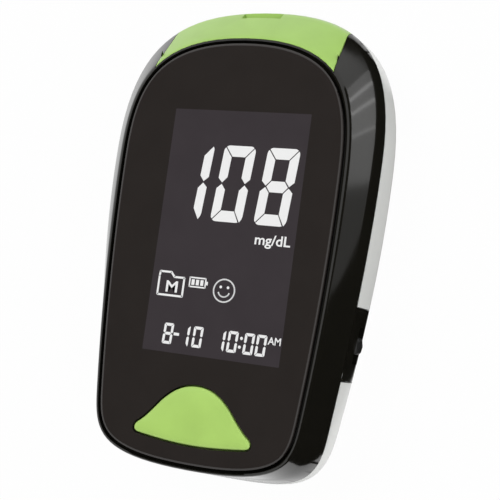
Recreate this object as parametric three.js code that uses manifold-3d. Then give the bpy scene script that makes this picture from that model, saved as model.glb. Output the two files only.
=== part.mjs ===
// Blood glucose meter: a hand-held reader with a glossy face, a coloured cap over the strip port,
// one large button, a strip ejector on its right side and two AAA cells behind a sliding door.
// Millimetres. +X is right, +Y points to the strip port, +Z comes out of the face.
// The meter lies on its back, so z = 0 is the flat of the back.
import * as THREE from "three";
import { mergeVertices } from "three/addons/utils/BufferGeometryUtils.js";
import Module from "manifold-3d";

const wasm = await Module();
wasm.setup();

// Case
const bodyLength = 96;
const bodyWidth = 58.6;
const wall = 1.9;
const frontDepth = 9.4;
const partingGap = 0.3;
const lipHeight = 0.9;
const lipInset = 1;
const floorThickness = 2.8;
const backRoundInset = 5.5;
const backRoundRise = 5;
const shoulderDepth = 5.5;
const partingCrown = 2;
const partingTopFall = 2.5;
const partingBottomFall = 5.2;
const shoulderCrown = 0.55;
const shoulderTopFall = 2.4;
const shoulderBottomFall = 2.3;
const fitGap = 0.3;
const overrun = 1;

// Face
const faceTopMargin = 8.4;
const faceBottomMargin = 2.1;
const faceSideMargin = 4.8;
const faceRimDrop = 0.5;
const lensTopDrop = 0.3;
const lensThickness = 1.5;
const lensBevel = 0.35;
const grooveWidth = 0.45;
const shelfThickness = 1;

// Top cap
const capThickness = 1.1;
const capSideThickness = 1.2;
const capEndOffset = 18.7;
const capEndInset = 11.2;
const capReach = 9;
const capSplayShare = 0.12;
const capLeanShare = 0.1;
const portWidth = 8.6;
const portHeight = 1.8;
const portFlare = 0.4;

// Display
const displaySideMargin = 14.85;
const displayTopMargin = 14.3;
const displayKeyGap = 5.8;
const windowMargin = 0.8;
const glassMargin = 1.6;
const glassThickness = 1.2;
const glassGap = 0.2;
const backlightThickness = 1;
const contactLedge = 3;
const zebraWidth = 2;
const displayFrameWall = 0.8;

// Main button
const buttonWidth = 24.4;
const buttonLength = 11.8;
const buttonMargin = 4;
const buttonTravel = 0.7;
const buttonGap = 0.35;
const buttonFlangeReach = 1;
const buttonFlangeThickness = 0.9;
const buttonCrown = 0.5;
const domeBaseRadius = 3.8;
const domeTopRadius = 2.4;
const domeFootShare = 0.5;

// Strip ejector on the right side
const tabLength = 14.3;
const tabEndMargin = 29.8;
const tabBelow = 0.8;
const slotLength = 7.4;
const slotRiseShare = 0.18;
const slotHeightShare = 0.436;
const knobLength = 3.2;
const knobProud = 0.4;
const ejectorTravel = 1.9;
const slidePlateThickness = 1.2;
const slidePlateOverlap = 1.3;
const armWidth = 1.8;
const armThickness = 1.6;
const armInset = 8.8;
const springWire = 0.5;
const springDiameter = 3.2;
const springLength = 9;
const springTurns = 6;
const pusherThickness = 0.8;
const guideWidth = 1.2;
const guideLength = 22;

// Strip socket
const stripWidth = 7.2;
const stripSpace = 1.4;
const socketWidth = 12.6;
const socketLength = 11.5;
const socketHeight = 3;
const socketInset = 5.4;
const stripContactWidth = 1;
const stripContactPitch = 2.3;
const stripContactLength = 5;
const stripContactThickness = 0.25;
const stripContactBow = 0.45;

// Circuit board
const boardThickness = 1;
const boardInset = 5.6;
const boardTopMargin = 9.6;
const boardGap = 0.4;
const chipSide = 9;
const chipThickness = 1.2;
const chipBuzzerGap = 1;
const chipGap = 3.4;
const buzzerDiameter = 9;
const buzzerHeight = 2.2;
const buzzerSideMargin = 12.3;
const buzzerSocketGap = 6.5;

// Battery compartment
const cellDiameter = 10.5;
const cellNubDiameter = 3.8;
const cellNubLength = 0.9;
const cellSpacing = 0.4;
const cellSideGap = 0.5;
const cellGap = 0.25;
const compartmentEndMargin = 9;
const compartmentWall = 0.9;
const contactThickness = 0.5;
const contactMargin = 1.05;
const cellSpringLength = 4.6;
const cellSpringMargin = 1;
const cellSpringTurns = 3;
const cellSpringWire = 0.7;

// Battery door
const doorLand = 1.8;
const doorCrossbarGap = 6;
const doorThickness = 1.5;
const doorFlange = 0.7;
const doorFlangeThickness = 0.65;
const doorTongueWidth = 8;
const doorTongueLength = 1.5;
const gripCount = 5;
const gripPitch = 2;
const gripWidth = 13;
const gripDepth = 0.4;
const gripEndMargin = 18;

// Setting key inside the compartment
const setKeyDiameter = 3.8;
const setKeyX = 7.2;
const setKeyTravel = 0.6;
const setKeyReach = 1.4;
const setKeyFlange = 1;
const setKeyFlangeThickness = 0.8;
const setDomeHeight = 2;
const setPocketLength = 9.4;
const setPocketWidth = 6.2;
const setPocketRise = 2.8;

// Screws
const screwDiameter = 2;
const screwHeadDiameter = 3.8;
const screwHeadHeight = 1.4;
const screwSeat = 3;
const screwBite = 2.6;
const screwLand = 0.6;
const screwTopMargin = 12;
const screwBottomMargin = 10;
const screwBossDiameter = 6;
const boardScrewDiameter = 1.6;
const boardScrewHeadDiameter = 3;
const boardScrewHeadHeight = 1;
const boardScrewLength = 2.6;
const boardBossDiameter = 4;
const boardScrewLand = 1.45;
const boardScrewOffset = 12;
const screwCrownShare = 0.7;
const screwEdgeShare = 0.6;
const screwBladeShare = 0.2;

// Half outlines, from the top middle down the right side, as shares of half width and half length.
// Each row is one cubic stretch.
const bodyOutlineShares = [
  [[0, 1], [0.7, 1], [1, 0.83], [1, 0.36]],
  [[1, 0.36], [1, -0.1], [0.905, -0.5], [0.834, -0.765]],
  [[0.834, -0.765], [0.772, -0.996], [0.56, -1], [0, -1]],
];
const faceOutlineShares = [
  [[0, 1], [0.95, 1], [1, 0.74], [1, 0.235]],
  [[1, 0.235], [1, -0.1], [0.88, -0.445], [0.85, -0.69]],
  [[0.85, -0.69], [0.824, -0.904], [0.8, -1], [0, -1]],
];
const buttonOutlineShares = [
  [[0, 1], [0.25, 1], [0.53, 0.55], [0.77, 0.06]],
  [[0.77, 0.06], [0.86, -0.12], [0.93, -0.41], [0.98, -0.59]],
  [[0.98, -0.59], [1.03, -0.77], [0.98, -0.85], [0.89, -0.87]],
  [[0.89, -0.87], [0.59, -0.93], [0.3, -1], [0, -1]],
];
// The shoulder's profile, from the upright wall to the face, as shares of its reach and its rise.
const shoulderShares = [[0, 0], [0, 0.11], [0.08, 0.17], [1, 1]];
// Steps along the stretches of each half outline
const caseSteps = [12, 6, 9];
const buttonSteps = [7, 2, 4, 4];
// The crown of the main button: how far each ring is drawn in to the middle, and how high it lies.
const crownShares = [[0, 0], [0.02, 0.4], [0.07, 0.66], [0.3, 0.9], [0.65, 1]];

// Facets
const shoulderSteps = 6;
const backRoundSteps = 5;
const roundSides = 20;
const smallSides = 14;
const cellSides = 28;
const stepsPerTurn = 8;

// Heights, from the back up: the case is as high as the door, the cells, the board, the display
// and the lens make it.
const cellBottom = doorThickness + cellGap;
const cellTop = cellBottom + cellDiameter;
const compartmentTop = cellTop + cellGap;
const boardBottom = compartmentTop + compartmentWall + boardGap;
const boardTop = boardBottom + boardThickness;
const glassBottom = boardTop + backlightThickness;
const glassTop = glassBottom + glassThickness;
const shelfBottom = glassTop + glassGap;
const lensBottom = shelfBottom + shelfThickness;
const lensTop = lensBottom + lensThickness;
const bodyHeight = lensTop + lensTopDrop;
const rimHeight = bodyHeight - faceRimDrop;
const shoulderHeight = rimHeight - shoulderDepth;
const partingHeight = bodyHeight - frontDepth;
const frontBottom = partingHeight + partingGap;
const slotBottom = floorThickness + slotRiseShare * (partingHeight - floorThickness);
const slotHeight = slotHeightShare * (partingHeight - floorThickness);
const tabBottom = slotBottom - tabBelow;
const armBottom = slotBottom + (slotHeight - armThickness) / 2;
const armTop = armBottom + armThickness;
const setPocketDepth = floorThickness + setPocketRise;
const setKeyBottom = setPocketDepth - setKeyReach;
const setKeyHeight = boardBottom - setDomeHeight - setKeyBottom;
const screwLength = frontBottom + screwBite - screwSeat;

// Places along the case, from its two ends
const topY = bodyLength / 2;
const bottomY = -bodyLength / 2;
const faceTopY = topY - faceTopMargin;
const faceBottomY = bottomY + faceBottomMargin;
const buttonCentreY = faceBottomY + buttonMargin + buttonLength / 2;
const displayEnds = [buttonCentreY + buttonLength / 2 + displayKeyGap, faceTopY - displayTopMargin];
const capEndY = topY - capEndInset;
const tabCentreY = bottomY + tabEndMargin;
const socketFrontY = topY - socketInset;
const socketBackY = socketFrontY - socketLength;
const crossbarY = socketBackY - fitGap - ejectorTravel - armWidth / 2;
const slidePlateEndY = tabCentreY + slotLength / 2 + slidePlateOverlap;
const springStartY = (slidePlateEndY + crossbarY - springLength) / 2;
const doorEndY = crossbarY - armWidth / 2 - doorCrossbarGap - doorTongueLength - 2 * fitGap;
const compartmentFrontY = doorEndY - fitGap - setPocketWidth - compartmentWall;
const compartmentEndY = bottomY + compartmentEndMargin;
const setKeyY = compartmentFrontY + compartmentWall + setPocketWidth / 2;
const chipY = compartmentFrontY + compartmentWall + chipGap + chipSide / 2;
const buzzerY = socketBackY - buzzerSocketGap;

// The cells fill the compartment. At these sizes they are AAA cells.
const cellLength =
  compartmentFrontY - compartmentEndY - cellSpringLength - 2 * contactThickness - 2 * cellGap;
const cellPitch = cellDiameter + cellSpacing;
const contactSide = cellDiameter - 2 * contactMargin;
const cellSpringDiameter = contactSide - 2 * cellSpringMargin;

// Places across the case
const displayHalfWidth = bodyWidth / 2 - displaySideMargin;
const glassHalf = displayHalfWidth + glassMargin;
const glassEnds = [displayEnds[0] - glassMargin, displayEnds[1] + glassMargin + contactLedge];
const armX = bodyWidth / 2 - armInset;
const buzzerX = buzzerSideMargin - bodyWidth / 2;
const chipX = buzzerX + buzzerDiameter / 2 + chipBuzzerGap + chipSide / 2;
const compartmentWidth = 2 * (cellDiameter + cellSideGap) + cellSpacing;
const doorWidth = compartmentWidth + 2 * doorLand;
const screwX = doorWidth / 2 + doorFlange + fitGap + screwLand + screwHeadDiameter / 2;
const screwPlaces = [
  [screwX, topY - screwTopMargin],
  [-screwX, topY - screwTopMargin],
  [screwX, bottomY + screwBottomMargin],
  [-screwX, bottomY + screwBottomMargin],
];
const boardScrewX = glassHalf + fitGap + displayFrameWall + boardScrewLand + boardBossDiameter / 2;
const boardScrewPlaces = [
  [-boardScrewX, boardScrewOffset],
  [boardScrewX, -boardScrewOffset],
];

const colours = {
  black: [0x16150f, 0.18, 0],
  lens: [0x2c2826, 0.12, 0],
  green: [0xa8d06a, 0.38, 0],
  silver: [0xd6d8d4, 0.42, 0],
  dark: [0x1d1d1c, 0.5, 0],
  glass: [0x403c3f, 0.15, 0],
  frame: [0xe9e9e6, 0.5, 0],
  board: [0x1f6b3c, 0.5, 0],
  rubber: [0xb9b6ad, 0.75, 0],
  steel: [0xb9bcc0, 0.3, 1],
  brass: [0xc9a850, 0.3, 1],
  cell: [0x8a8f96, 0.35, 0.4],
};

// Turns a closed geometry into a solid that can be joined and cut.
function solid(geometry) {
  const bare = geometry.clone();
  bare.deleteAttribute("normal");
  bare.deleteAttribute("uv");
  const merged = mergeVertices(bare);
  return new wasm.Manifold(
    new wasm.Mesh({
      numProp: 3,
      vertProperties: merged.attributes.position.array,
      triVerts: new Uint32Array(merged.index.array),
    }),
  );
}

const join = (first, ...others) => others.reduce((whole, other) => whole.add(other), first);
const cut = (first, ...others) => others.reduce((whole, other) => whole.subtract(other), first);

// A named mesh of a solid, in one of the colours above.
function piece(name, shape, colour) {
  const { vertProperties, triVerts } = shape.getMesh();
  const geometry = new THREE.BufferGeometry()
    .setAttribute("position", new THREE.BufferAttribute(vertProperties, 3))
    .setIndex(new THREE.BufferAttribute(triVerts, 1));
  geometry.computeVertexNormals();
  const [color, roughness, metalness] = colours[colour];
  const mesh = new THREE.Mesh(
    geometry,
    new THREE.MeshStandardMaterial({ color, roughness, metalness }),
  );
  mesh.name = name;
  return mesh;
}

function block([x0, x1], [y0, y1], [z0, z1]) {
  const box = new THREE.BoxGeometry(x1 - x0, y1 - y0, z1 - z0);
  return solid(box.translate((x0 + x1) / 2, (y0 + y1) / 2, (z0 + z1) / 2));
}

// A round bar along Z.
function rod(x, y, [z0, z1], radius, sides = roundSides) {
  const bar = new THREE.CylinderGeometry(radius, radius, z1 - z0, sides);
  return solid(bar.rotateX(Math.PI / 2).translate(x, y, (z0 + z1) / 2));
}

// A solid of revolution about Z, from a profile of radius and height that starts and ends on the axis.
function turned(profile, sides = roundSides) {
  const points = profile.map(([radius, height]) => new THREE.Vector2(radius, height));
  return solid(new THREE.LatheGeometry(points, sides).rotateX(Math.PI / 2));
}

// A closed outline, counter-clockwise from the bottom middle, from its half outline's shares.
function outline(shares, steps, halfWidth, halfLength, centreY) {
  const half = shares.flatMap((stretch, i) => {
    const ends = stretch.map(
      ([x, y]) => new THREE.Vector2(x * halfWidth, centreY + y * halfLength),
    );
    const points = new THREE.CubicBezierCurve(...ends).getPoints(steps[i]);
    return i ? points.slice(1) : points;
  });
  const left = half.slice(1, -1).map((p) => new THREE.Vector2(-p.x, p.y));
  return [...half.reverse(), ...left];
}

// The outline moved inwards by a distance, or outwards by a negative one.
function inset(points, distance) {
  return points.map((p, i) => {
    const before = points.at(i - 1);
    const after = points[(i + 1) % points.length];
    const along = after.clone().sub(before).normalize();
    return new THREE.Vector2(p.x - along.y * distance, p.y + along.x * distance);
  });
}

const blend = (from, to, share) => from.map((p, i) => p.clone().lerp(to[i], share));

// How far a line along the case lies above its height: it arches over the middle and falls to both ends.
const arch = (crown, topFall, bottomFall) => (y) =>
  crown - (y > 0 ? topFall : bottomFall) * (y / topY) ** 2;
const partingArch = arch(partingCrown, partingTopFall, partingBottomFall);
const shoulderArch = arch(shoulderCrown, shoulderTopFall, shoulderBottomFall);

// The end of a loft on an outline that is alike left and right: strips from one side to the other,
// so that a ring that arches is closed by a surface that arches with it.
function strips(points) {
  const last = points.length;
  const faces = [];
  for (let i = 0; i < last / 2; i++) {
    const mirror = last - i;
    if (i > 0) faces.push([i, i + 1, mirror]);
    if (i < last / 2 - 1) faces.push([i + 1, mirror - 1, mirror % last]);
  }
  return faces;
}

// A closed solid through rings of equal count, given from the lowest to the highest. A ring may
// have an arch, which lifts each of its points by its place along the case.
function loft(rings, ends = (points) => THREE.ShapeUtils.triangulateShape(points, [])) {
  const count = rings[0].points.length;
  const positions = rings.flatMap(({ points, z, lift = () => 0 }) =>
    points.flatMap((p) => [p.x, p.y, z + lift(p.y)]),
  );
  const faces = [];
  for (let level = 0; level < rings.length - 1; level++) {
    for (let i = 0; i < count; i++) {
      const a = level * count + i;
      const b = level * count + ((i + 1) % count);
      faces.push(a, b, b + count, a, b + count, a + count);
    }
  }
  const last = (rings.length - 1) * count;
  ends(rings[0].points).forEach(([a, b, c]) => faces.push(a, c, b));
  ends(rings.at(-1).points).forEach(([a, b, c]) => faces.push(last + a, last + b, last + c));
  const geometry = new THREE.BufferGeometry()
    .setAttribute("position", new THREE.Float32BufferAttribute(positions, 3))
    .setIndex(faces);
  return solid(geometry);
}

const prism = (points, z0, z1) => loft([{ points, z: z0 }, { points, z: z1 }]);
const archedPrism = (points, z0, z1) =>
  loft([z0, z1].map((z) => ({ points, z, lift: partingArch })), strips);

// A helix along Y, whose radius may change from its start to its end.
class Helix extends THREE.Curve {
  constructor(startRadius, endRadius, length, turns) {
    super();
    Object.assign(this, { startRadius, endRadius, length, turns });
  }
  getPoint(t, target = new THREE.Vector3()) {
    const angle = t * this.turns * 2 * Math.PI;
    const radius = this.startRadius + t * (this.endRadius - this.startRadius);
    return target.set(radius * Math.cos(angle), t * this.length, radius * Math.sin(angle));
  }
}

function wire(curve, diameter, steps, sides = 5) {
  const corners = Array.from({ length: sides }, (_, i) => {
    const angle = (i / sides) * 2 * Math.PI;
    return new THREE.Vector2(Math.cos(angle), Math.sin(angle)).multiplyScalar(diameter / 2);
  });
  return solid(
    new THREE.ExtrudeGeometry(new THREE.Shape(corners), { steps, extrudePath: curve }),
  );
}

const bodyOutline = outline(bodyOutlineShares, caseSteps, bodyWidth / 2, bodyLength / 2, 0);
const faceOutline = outline(
  faceOutlineShares,
  caseSteps,
  bodyWidth / 2 - faceSideMargin,
  (faceTopY - faceBottomY) / 2,
  (faceTopY + faceBottomY) / 2,
);
const buttonOutline = outline(
  buttonOutlineShares,
  buttonSteps,
  buttonWidth / 2,
  buttonLength / 2,
  buttonCentreY,
);

// Half width of the case at a height along Y.
function caseHalfWidth(y) {
  const right = bodyOutline.filter((p) => p.x > 0).sort((a, b) => a.y - b.y);
  const above = right.findIndex((p) => p.y > y);
  const [low, high] = [right[above - 1], right[above]];
  return THREE.MathUtils.mapLinear(y, low.y, high.y, low.x, high.x);
}

// The form above the parting line: an upright wall, then a shoulder that sweeps in to the face.
// The form that cuts the inside of a wall reaches further down.
function frontForm(shrink, drop, below = 0) {
  const rim = inset(bodyOutline, shrink);
  const profile = new THREE.CubicBezierCurve(
    ...shoulderShares.map(([reach, rise]) => new THREE.Vector2(reach, rise)),
  );
  const sweep = profile.getPoints(shoulderSteps).map(({ x: reach, y: rise }) => ({
    points: blend(rim, faceOutline, reach),
    z: shoulderHeight - drop + (rimHeight - shoulderHeight) * rise,
    lift: (y) => (1 - rise) * shoulderArch(y),
  }));
  return loft([{ points: rim, z: frontBottom - below, lift: partingArch }, ...sweep], strips);
}

// The form below the parting line: a flat back, a rounded edge and an upright wall. The space
// inside it is the same form, drawn in by the wall and raised by the floor.
function rearForm(top, shrink, lift) {
  const rings = [];
  for (let i = 0; i <= backRoundSteps; i++) {
    const turn = ((i / backRoundSteps) * Math.PI) / 2;
    rings.push({
      points: inset(bodyOutline, shrink + backRoundInset * (1 - Math.sin(turn))),
      z: lift + (backRoundRise - lift) * (1 - Math.cos(turn)),
    });
  }
  rings.push({ points: inset(bodyOutline, shrink), z: top, lift: partingArch });
  return loft(rings, strips);
}

// The space between the two tilted planes that end the cap, widened by a clearance.
function capSpace(clearance) {
  const nearY = capEndY - capReach;
  const farY = topY + overrun;
  const ring = (z) => {
    const edge = (y) =>
      capEndOffset + clearance + (capEndY - y) * capSplayShare + (rimHeight - z) * capLeanShare;
    return {
      z,
      points: [
        new THREE.Vector2(-edge(nearY), nearY),
        new THREE.Vector2(edge(nearY), nearY),
        new THREE.Vector2(edge(farY), farY),
        new THREE.Vector2(-edge(farY), farY),
      ],
    };
  };
  return loft([ring(floorThickness), ring(bodyHeight + overrun)]);
}

// The mouth of the strip port through the wall, with a flared lip outside.
function portCut() {
  const middle = boardBottom - socketHeight / 2;
  const farY = topY + overrun;
  const passage = block(
    [-portWidth / 2, portWidth / 2],
    [socketFrontY - overrun, farY],
    [middle - portHeight / 2, middle + portHeight / 2],
  );
  const flare = block(
    [-portWidth / 2 - portFlare, portWidth / 2 + portFlare],
    [topY - portFlare, farY],
    [middle - portHeight / 2 - portFlare, middle + portHeight / 2 + portFlare],
  );
  return join(passage, flare);
}

function frontCavity() {
  return loft(
    [
      { points: inset(bodyOutline, wall), z: floorThickness },
      { points: inset(bodyOutline, wall), z: shoulderHeight - capSideThickness, lift: shoulderArch },
      { points: inset(faceOutline, grooveWidth), z: shelfBottom },
    ],
    strips,
  );
}

const displayArea = (margin, z0, z1) =>
  block(
    [-displayHalfWidth - margin, displayHalfWidth + margin],
    [displayEnds[0] - margin, displayEnds[1] + margin],
    [z0, z1],
  );

// The tongue of the bezel that hangs over the rear case on the right, around the ejector slot.
const tabEnds = [tabCentreY - tabLength / 2, tabCentreY + tabLength / 2];
function sideTab() {
  const span = block([0, bodyWidth], tabEnds, [tabBottom, shoulderHeight]);
  const inside = prism(inset(bodyOutline, wall), 0, bodyHeight);
  const slot = block(
    [0, bodyWidth],
    [tabCentreY - slotLength / 2, tabCentreY + slotLength / 2],
    [slotBottom, slotBottom + slotHeight],
  );
  return cut(rearForm(shoulderHeight, 0, 0).intersect(span), inside, slot);
}

// The rebate inside the lower edge of the front parts, for the lip of the rear case.
const lipSpace = archedPrism(
  inset(bodyOutline, lipInset - fitGap),
  frontBottom - overrun,
  partingHeight + lipHeight + fitGap,
);

function frontBezel() {
  const bosses = screwPlaces.map(([x, y]) =>
    rod(x, y, [frontBottom, shelfBottom + overrun / 2], screwBossDiameter / 2 - fitGap),
  );
  const boardBosses = boardScrewPlaces.map(([x, y]) =>
    rod(x, y, [boardTop, shelfBottom + overrun / 2], boardBossDiameter / 2),
  );
  const screwHoles = screwPlaces.map(([x, y]) =>
    rod(x, y, [0, screwSeat + screwLength + fitGap], screwDiameter / 2 + fitGap / 2, smallSides),
  );
  const boardScrewHoles = boardScrewPlaces.map(([x, y]) =>
    rod(
      x,
      y,
      [0, boardBottom + boardScrewLength + fitGap],
      boardScrewDiameter / 2 + fitGap / 2,
      smallSides,
    ),
  );
  const capSeat = cut(
    capSpace(fitGap).intersect(prism(inset(bodyOutline, -overrun), 0, bodyHeight + overrun)),
    frontForm(capSideThickness + fitGap, capThickness + fitGap, shoulderDepth),
  );
  const shell = cut(frontForm(0, 0), frontCavity(), lipSpace);
  return cut(
    join(shell, sideTab(), ...bosses, ...boardBosses),
    capSeat,
    prism(faceOutline, lensBottom, bodyHeight + overrun),
    displayArea(windowMargin, shelfBottom - overrun, bodyHeight),
    prism(inset(buttonOutline, -buttonGap), shelfBottom - overrun, bodyHeight),
    portCut(),
    ...screwHoles,
    ...boardScrewHoles,
  );
}

function topCap() {
  return cut(
    frontForm(0, 0).intersect(capSpace(0)),
    frontForm(capSideThickness, capThickness, overrun),
    prism(faceOutline, floorThickness, bodyHeight + overrun),
    lipSpace,
    portCut(),
  );
}

function faceLens() {
  const edge = inset(faceOutline, grooveWidth);
  const plate = loft([
    { points: edge, z: lensBottom },
    { points: edge, z: lensTop - lensBevel },
    { points: inset(edge, lensBevel / 2), z: lensTop - lensBevel / 3 },
    { points: inset(edge, 2 * lensBevel), z: lensTop },
  ]);
  return cut(plate, prism(inset(buttonOutline, -buttonGap), 0, bodyHeight));
}

function mainButton() {
  const flange = inset(buttonOutline, -buttonFlangeReach);
  const flangeTop = shelfBottom - fitGap;
  const middle = buttonOutline.map(() => new THREE.Vector2(0, buttonCentreY));
  const crown = crownShares.map(([drawnIn, rise]) => ({
    points: blend(buttonOutline, middle, drawnIn),
    z: bodyHeight - buttonCrown + rise * buttonCrown,
  }));
  const key = loft([{ points: buttonOutline, z: flangeTop - buttonFlangeThickness / 2 }, ...crown]);
  return join(key, prism(flange, flangeTop - buttonFlangeThickness, flangeTop));
}

// A rubber dome that holds a key up: a wide foot on the board and a narrower top under the key.
// The foot takes its height from what is left of the dome when the key is down.
const dome = (base, top, height, travel) =>
  turned([[0, 0], [base, 0], [base, (height - travel) * domeFootShare], [top, height], [0, height]]);

function rearCase() {
  const inside = rearForm(partingHeight + overrun, wall, floorThickness);
  const lip = cut(
    archedPrism(inset(bodyOutline, lipInset), partingHeight - lipHeight, partingHeight + lipHeight),
    prism(inset(bodyOutline, wall), 0, bodyHeight),
  );
  const boxHalf = compartmentWidth / 2 + compartmentWall;
  const boxTop = compartmentTop + compartmentWall;
  const compartmentBox = block(
    [-boxHalf, boxHalf],
    [compartmentEndY - compartmentWall, compartmentFrontY + compartmentWall],
    [floorThickness / 2, boxTop],
  );
  const bosses = screwPlaces.map(([x, y]) =>
    rod(x, y, [floorThickness / 2, partingHeight], screwBossDiameter / 2),
  );
  const setBox = block(
    [
      setKeyX - setPocketLength / 2 - compartmentWall,
      setKeyX + setPocketLength / 2 + compartmentWall,
    ],
    [compartmentFrontY, doorEndY + compartmentWall],
    [floorThickness / 2, setPocketDepth + compartmentWall],
  );
  const compartment = block(
    [-compartmentWidth / 2, compartmentWidth / 2],
    [compartmentEndY, compartmentFrontY],
    [-overrun, compartmentTop],
  );
  const setPocket = block(
    [setKeyX - setPocketLength / 2, setKeyX + setPocketLength / 2],
    [compartmentFrontY + compartmentWall, doorEndY - fitGap],
    [-overrun, setPocketDepth],
  );
  const tabSpace = block(
    [caseHalfWidth(tabEnds[0]) - 2 * wall, bodyWidth],
    [tabEnds[0] - fitGap, tabEnds[1] + fitGap],
    [tabBottom - fitGap, bodyHeight],
  );
  const screwHoles = screwPlaces.flatMap(([x, y]) => [
    rod(x, y, [-overrun, screwSeat], screwHeadDiameter / 2 + fitGap),
    rod(x, y, [0, bodyHeight], screwDiameter / 2 + fitGap / 2, smallSides),
  ]);
  const shell = cut(rearForm(partingHeight, 0, 0), inside);
  return cut(
    join(shell, lip, compartmentBox, setBox, ...bosses, ...guides()),
    compartment,
    setPocket,
    doorSpace(),
    tabSpace,
    rod(setKeyX, setKeyY, [0, bodyHeight], setKeyDiameter / 2 + fitGap),
    ...screwHoles,
  );
}

// The recess for the door: a mouth in the back, a groove for its flanges and a notch for its tongue.
function doorSpace() {
  const half = doorWidth / 2 + fitGap;
  const ends = [bottomY - overrun, doorEndY + fitGap];
  const grooveBottom = doorThickness - doorFlangeThickness - fitGap;
  const top = doorThickness + cellGap;
  const mouth = block([-half, half], ends, [-overrun, top]);
  const groove = block([-half - doorFlange, half + doorFlange], ends, [grooveBottom, top]);
  const notch = block(
    [-doorTongueWidth / 2 - fitGap, doorTongueWidth / 2 + fitGap],
    [doorEndY, doorEndY + doorTongueLength + 2 * fitGap],
    [grooveBottom, top],
  );
  return join(mouth, groove, notch);
}

function batteryDoor() {
  const ends = [bottomY, doorEndY];
  const flangeBottom = doorThickness - doorFlangeThickness;
  const plate = join(
    block([-doorWidth / 2, doorWidth / 2], ends, [0, doorThickness]),
    block(
      [-doorWidth / 2 - doorFlange, doorWidth / 2 + doorFlange],
      ends,
      [flangeBottom, doorThickness],
    ),
  );
  const tongue = block(
    [-doorTongueWidth / 2, doorTongueWidth / 2],
    [doorEndY - overrun, doorEndY + doorTongueLength],
    [flangeBottom, doorThickness],
  );
  const grips = Array.from({ length: gripCount }, (_, i) => {
    const start = bottomY + gripEndMargin + i * gripPitch;
    return block([-gripWidth / 2, gripWidth / 2], [start, start + gripPitch / 2], [-overrun, gripDepth]);
  });
  return cut(join(plate.intersect(rearForm(partingHeight, 0, 0)), tongue), ...grips);
}

// The ejector's slide: a plate behind the slot, the knob through it, an arm and a crossbar to the port.
function ejectorSlide() {
  const plateEnds = [
    tabCentreY - slotLength / 2 - slidePlateOverlap - ejectorTravel,
    slidePlateEndY,
  ];
  const outside = inset(bodyOutline, wall + fitGap);
  const inside = inset(bodyOutline, wall + fitGap + slidePlateThickness);
  const band = block([0, bodyWidth], plateEnds, [slotBottom - fitGap, slotBottom + slotHeight]);
  const plate = cut(prism(outside, 0, bodyHeight).intersect(band), prism(inside, 0, bodyHeight));
  const knobTip = caseHalfWidth(tabCentreY) + knobProud;
  const knobSpan = [tabCentreY - knobLength / 2, tabCentreY + knobLength / 2];
  const knobHeight = slotHeight - 2 * fitGap;
  const knob = rod(0, 0, [0, knobHeight], knobLength / 2)
    .translate([knobTip - knobLength / 2, tabCentreY, slotBottom + fitGap])
    .add(
      block(
        [knobTip - wall - slidePlateThickness, knobTip - knobLength / 2],
        knobSpan,
        [slotBottom + fitGap, slotBottom + fitGap + knobHeight],
      ),
    );
  const plateEnd = caseHalfWidth(plateEnds[1]) - wall - fitGap;
  const armOutline = [
    [plateEnd - slidePlateThickness / 2, plateEnds[1] - armWidth],
    [armX + armWidth / 2, plateEnds[1] + 2 * armWidth],
    [armX + armWidth / 2, crossbarY + armWidth / 2],
    [-armWidth, crossbarY + armWidth / 2],
    [-armWidth, crossbarY - armWidth / 2],
    [armX - armWidth / 2, crossbarY - armWidth / 2],
    [armX - armWidth / 2, plateEnds[1] + armWidth],
    [plateEnd - slidePlateThickness, plateEnds[1] - 2 * armWidth],
  ].map(([x, y]) => new THREE.Vector2(x, y));
  const arm = prism(armOutline, armBottom, armTop);
  const lug = block(
    [armX, armX + armWidth / 2 + springDiameter],
    [springStartY - armWidth, springStartY],
    [armBottom, armTop],
  );
  const channelMiddle = boardBottom - socketHeight / 2;
  const post = block(
    [-armWidth, armWidth],
    [crossbarY - armWidth / 2, crossbarY + armWidth / 2],
    [armBottom, channelMiddle + pusherThickness / 2],
  );
  const pusher = block(
    [-armWidth, armWidth],
    [crossbarY, socketBackY + armWidth],
    [channelMiddle - pusherThickness / 2, channelMiddle + pusherThickness / 2],
  );
  return join(plate, knob, arm, lug, post, pusher);
}

// Ribs on the floor of the rear case that carry the ejector's arm, and the post its spring stands against.
function guides() {
  const rib = block(
    [armX - guideWidth / 2, armX + guideWidth / 2],
    [springStartY - guideLength / 2, springStartY + guideLength],
    [floorThickness / 2, armBottom - fitGap],
  );
  const postX = armX + armWidth / 2 + fitGap;
  const post = block(
    [postX, postX + springDiameter],
    [springStartY + springLength, springStartY + springLength + guideWidth],
    [floorThickness / 2, armTop],
  );
  return [rib, post];
}

function returnSpring() {
  const radius = (springDiameter - springWire) / 2;
  const length = springLength - springWire;
  return wire(new Helix(radius, radius, length, springTurns), springWire, springTurns * stepsPerTurn);
}

function stripSocket() {
  const half = socketWidth / 2;
  const body = block(
    [-half, half],
    [socketBackY, socketFrontY],
    [boardBottom - socketHeight, boardBottom],
  );
  const channel = block(
    [-stripWidth / 2 - fitGap, stripWidth / 2 + fitGap],
    [socketBackY - overrun, socketFrontY + overrun],
    [
      boardBottom - socketHeight / 2 - stripSpace / 2,
      boardBottom - socketHeight / 2 + stripSpace / 2,
    ],
  );
  return cut(body, channel);
}

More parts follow.
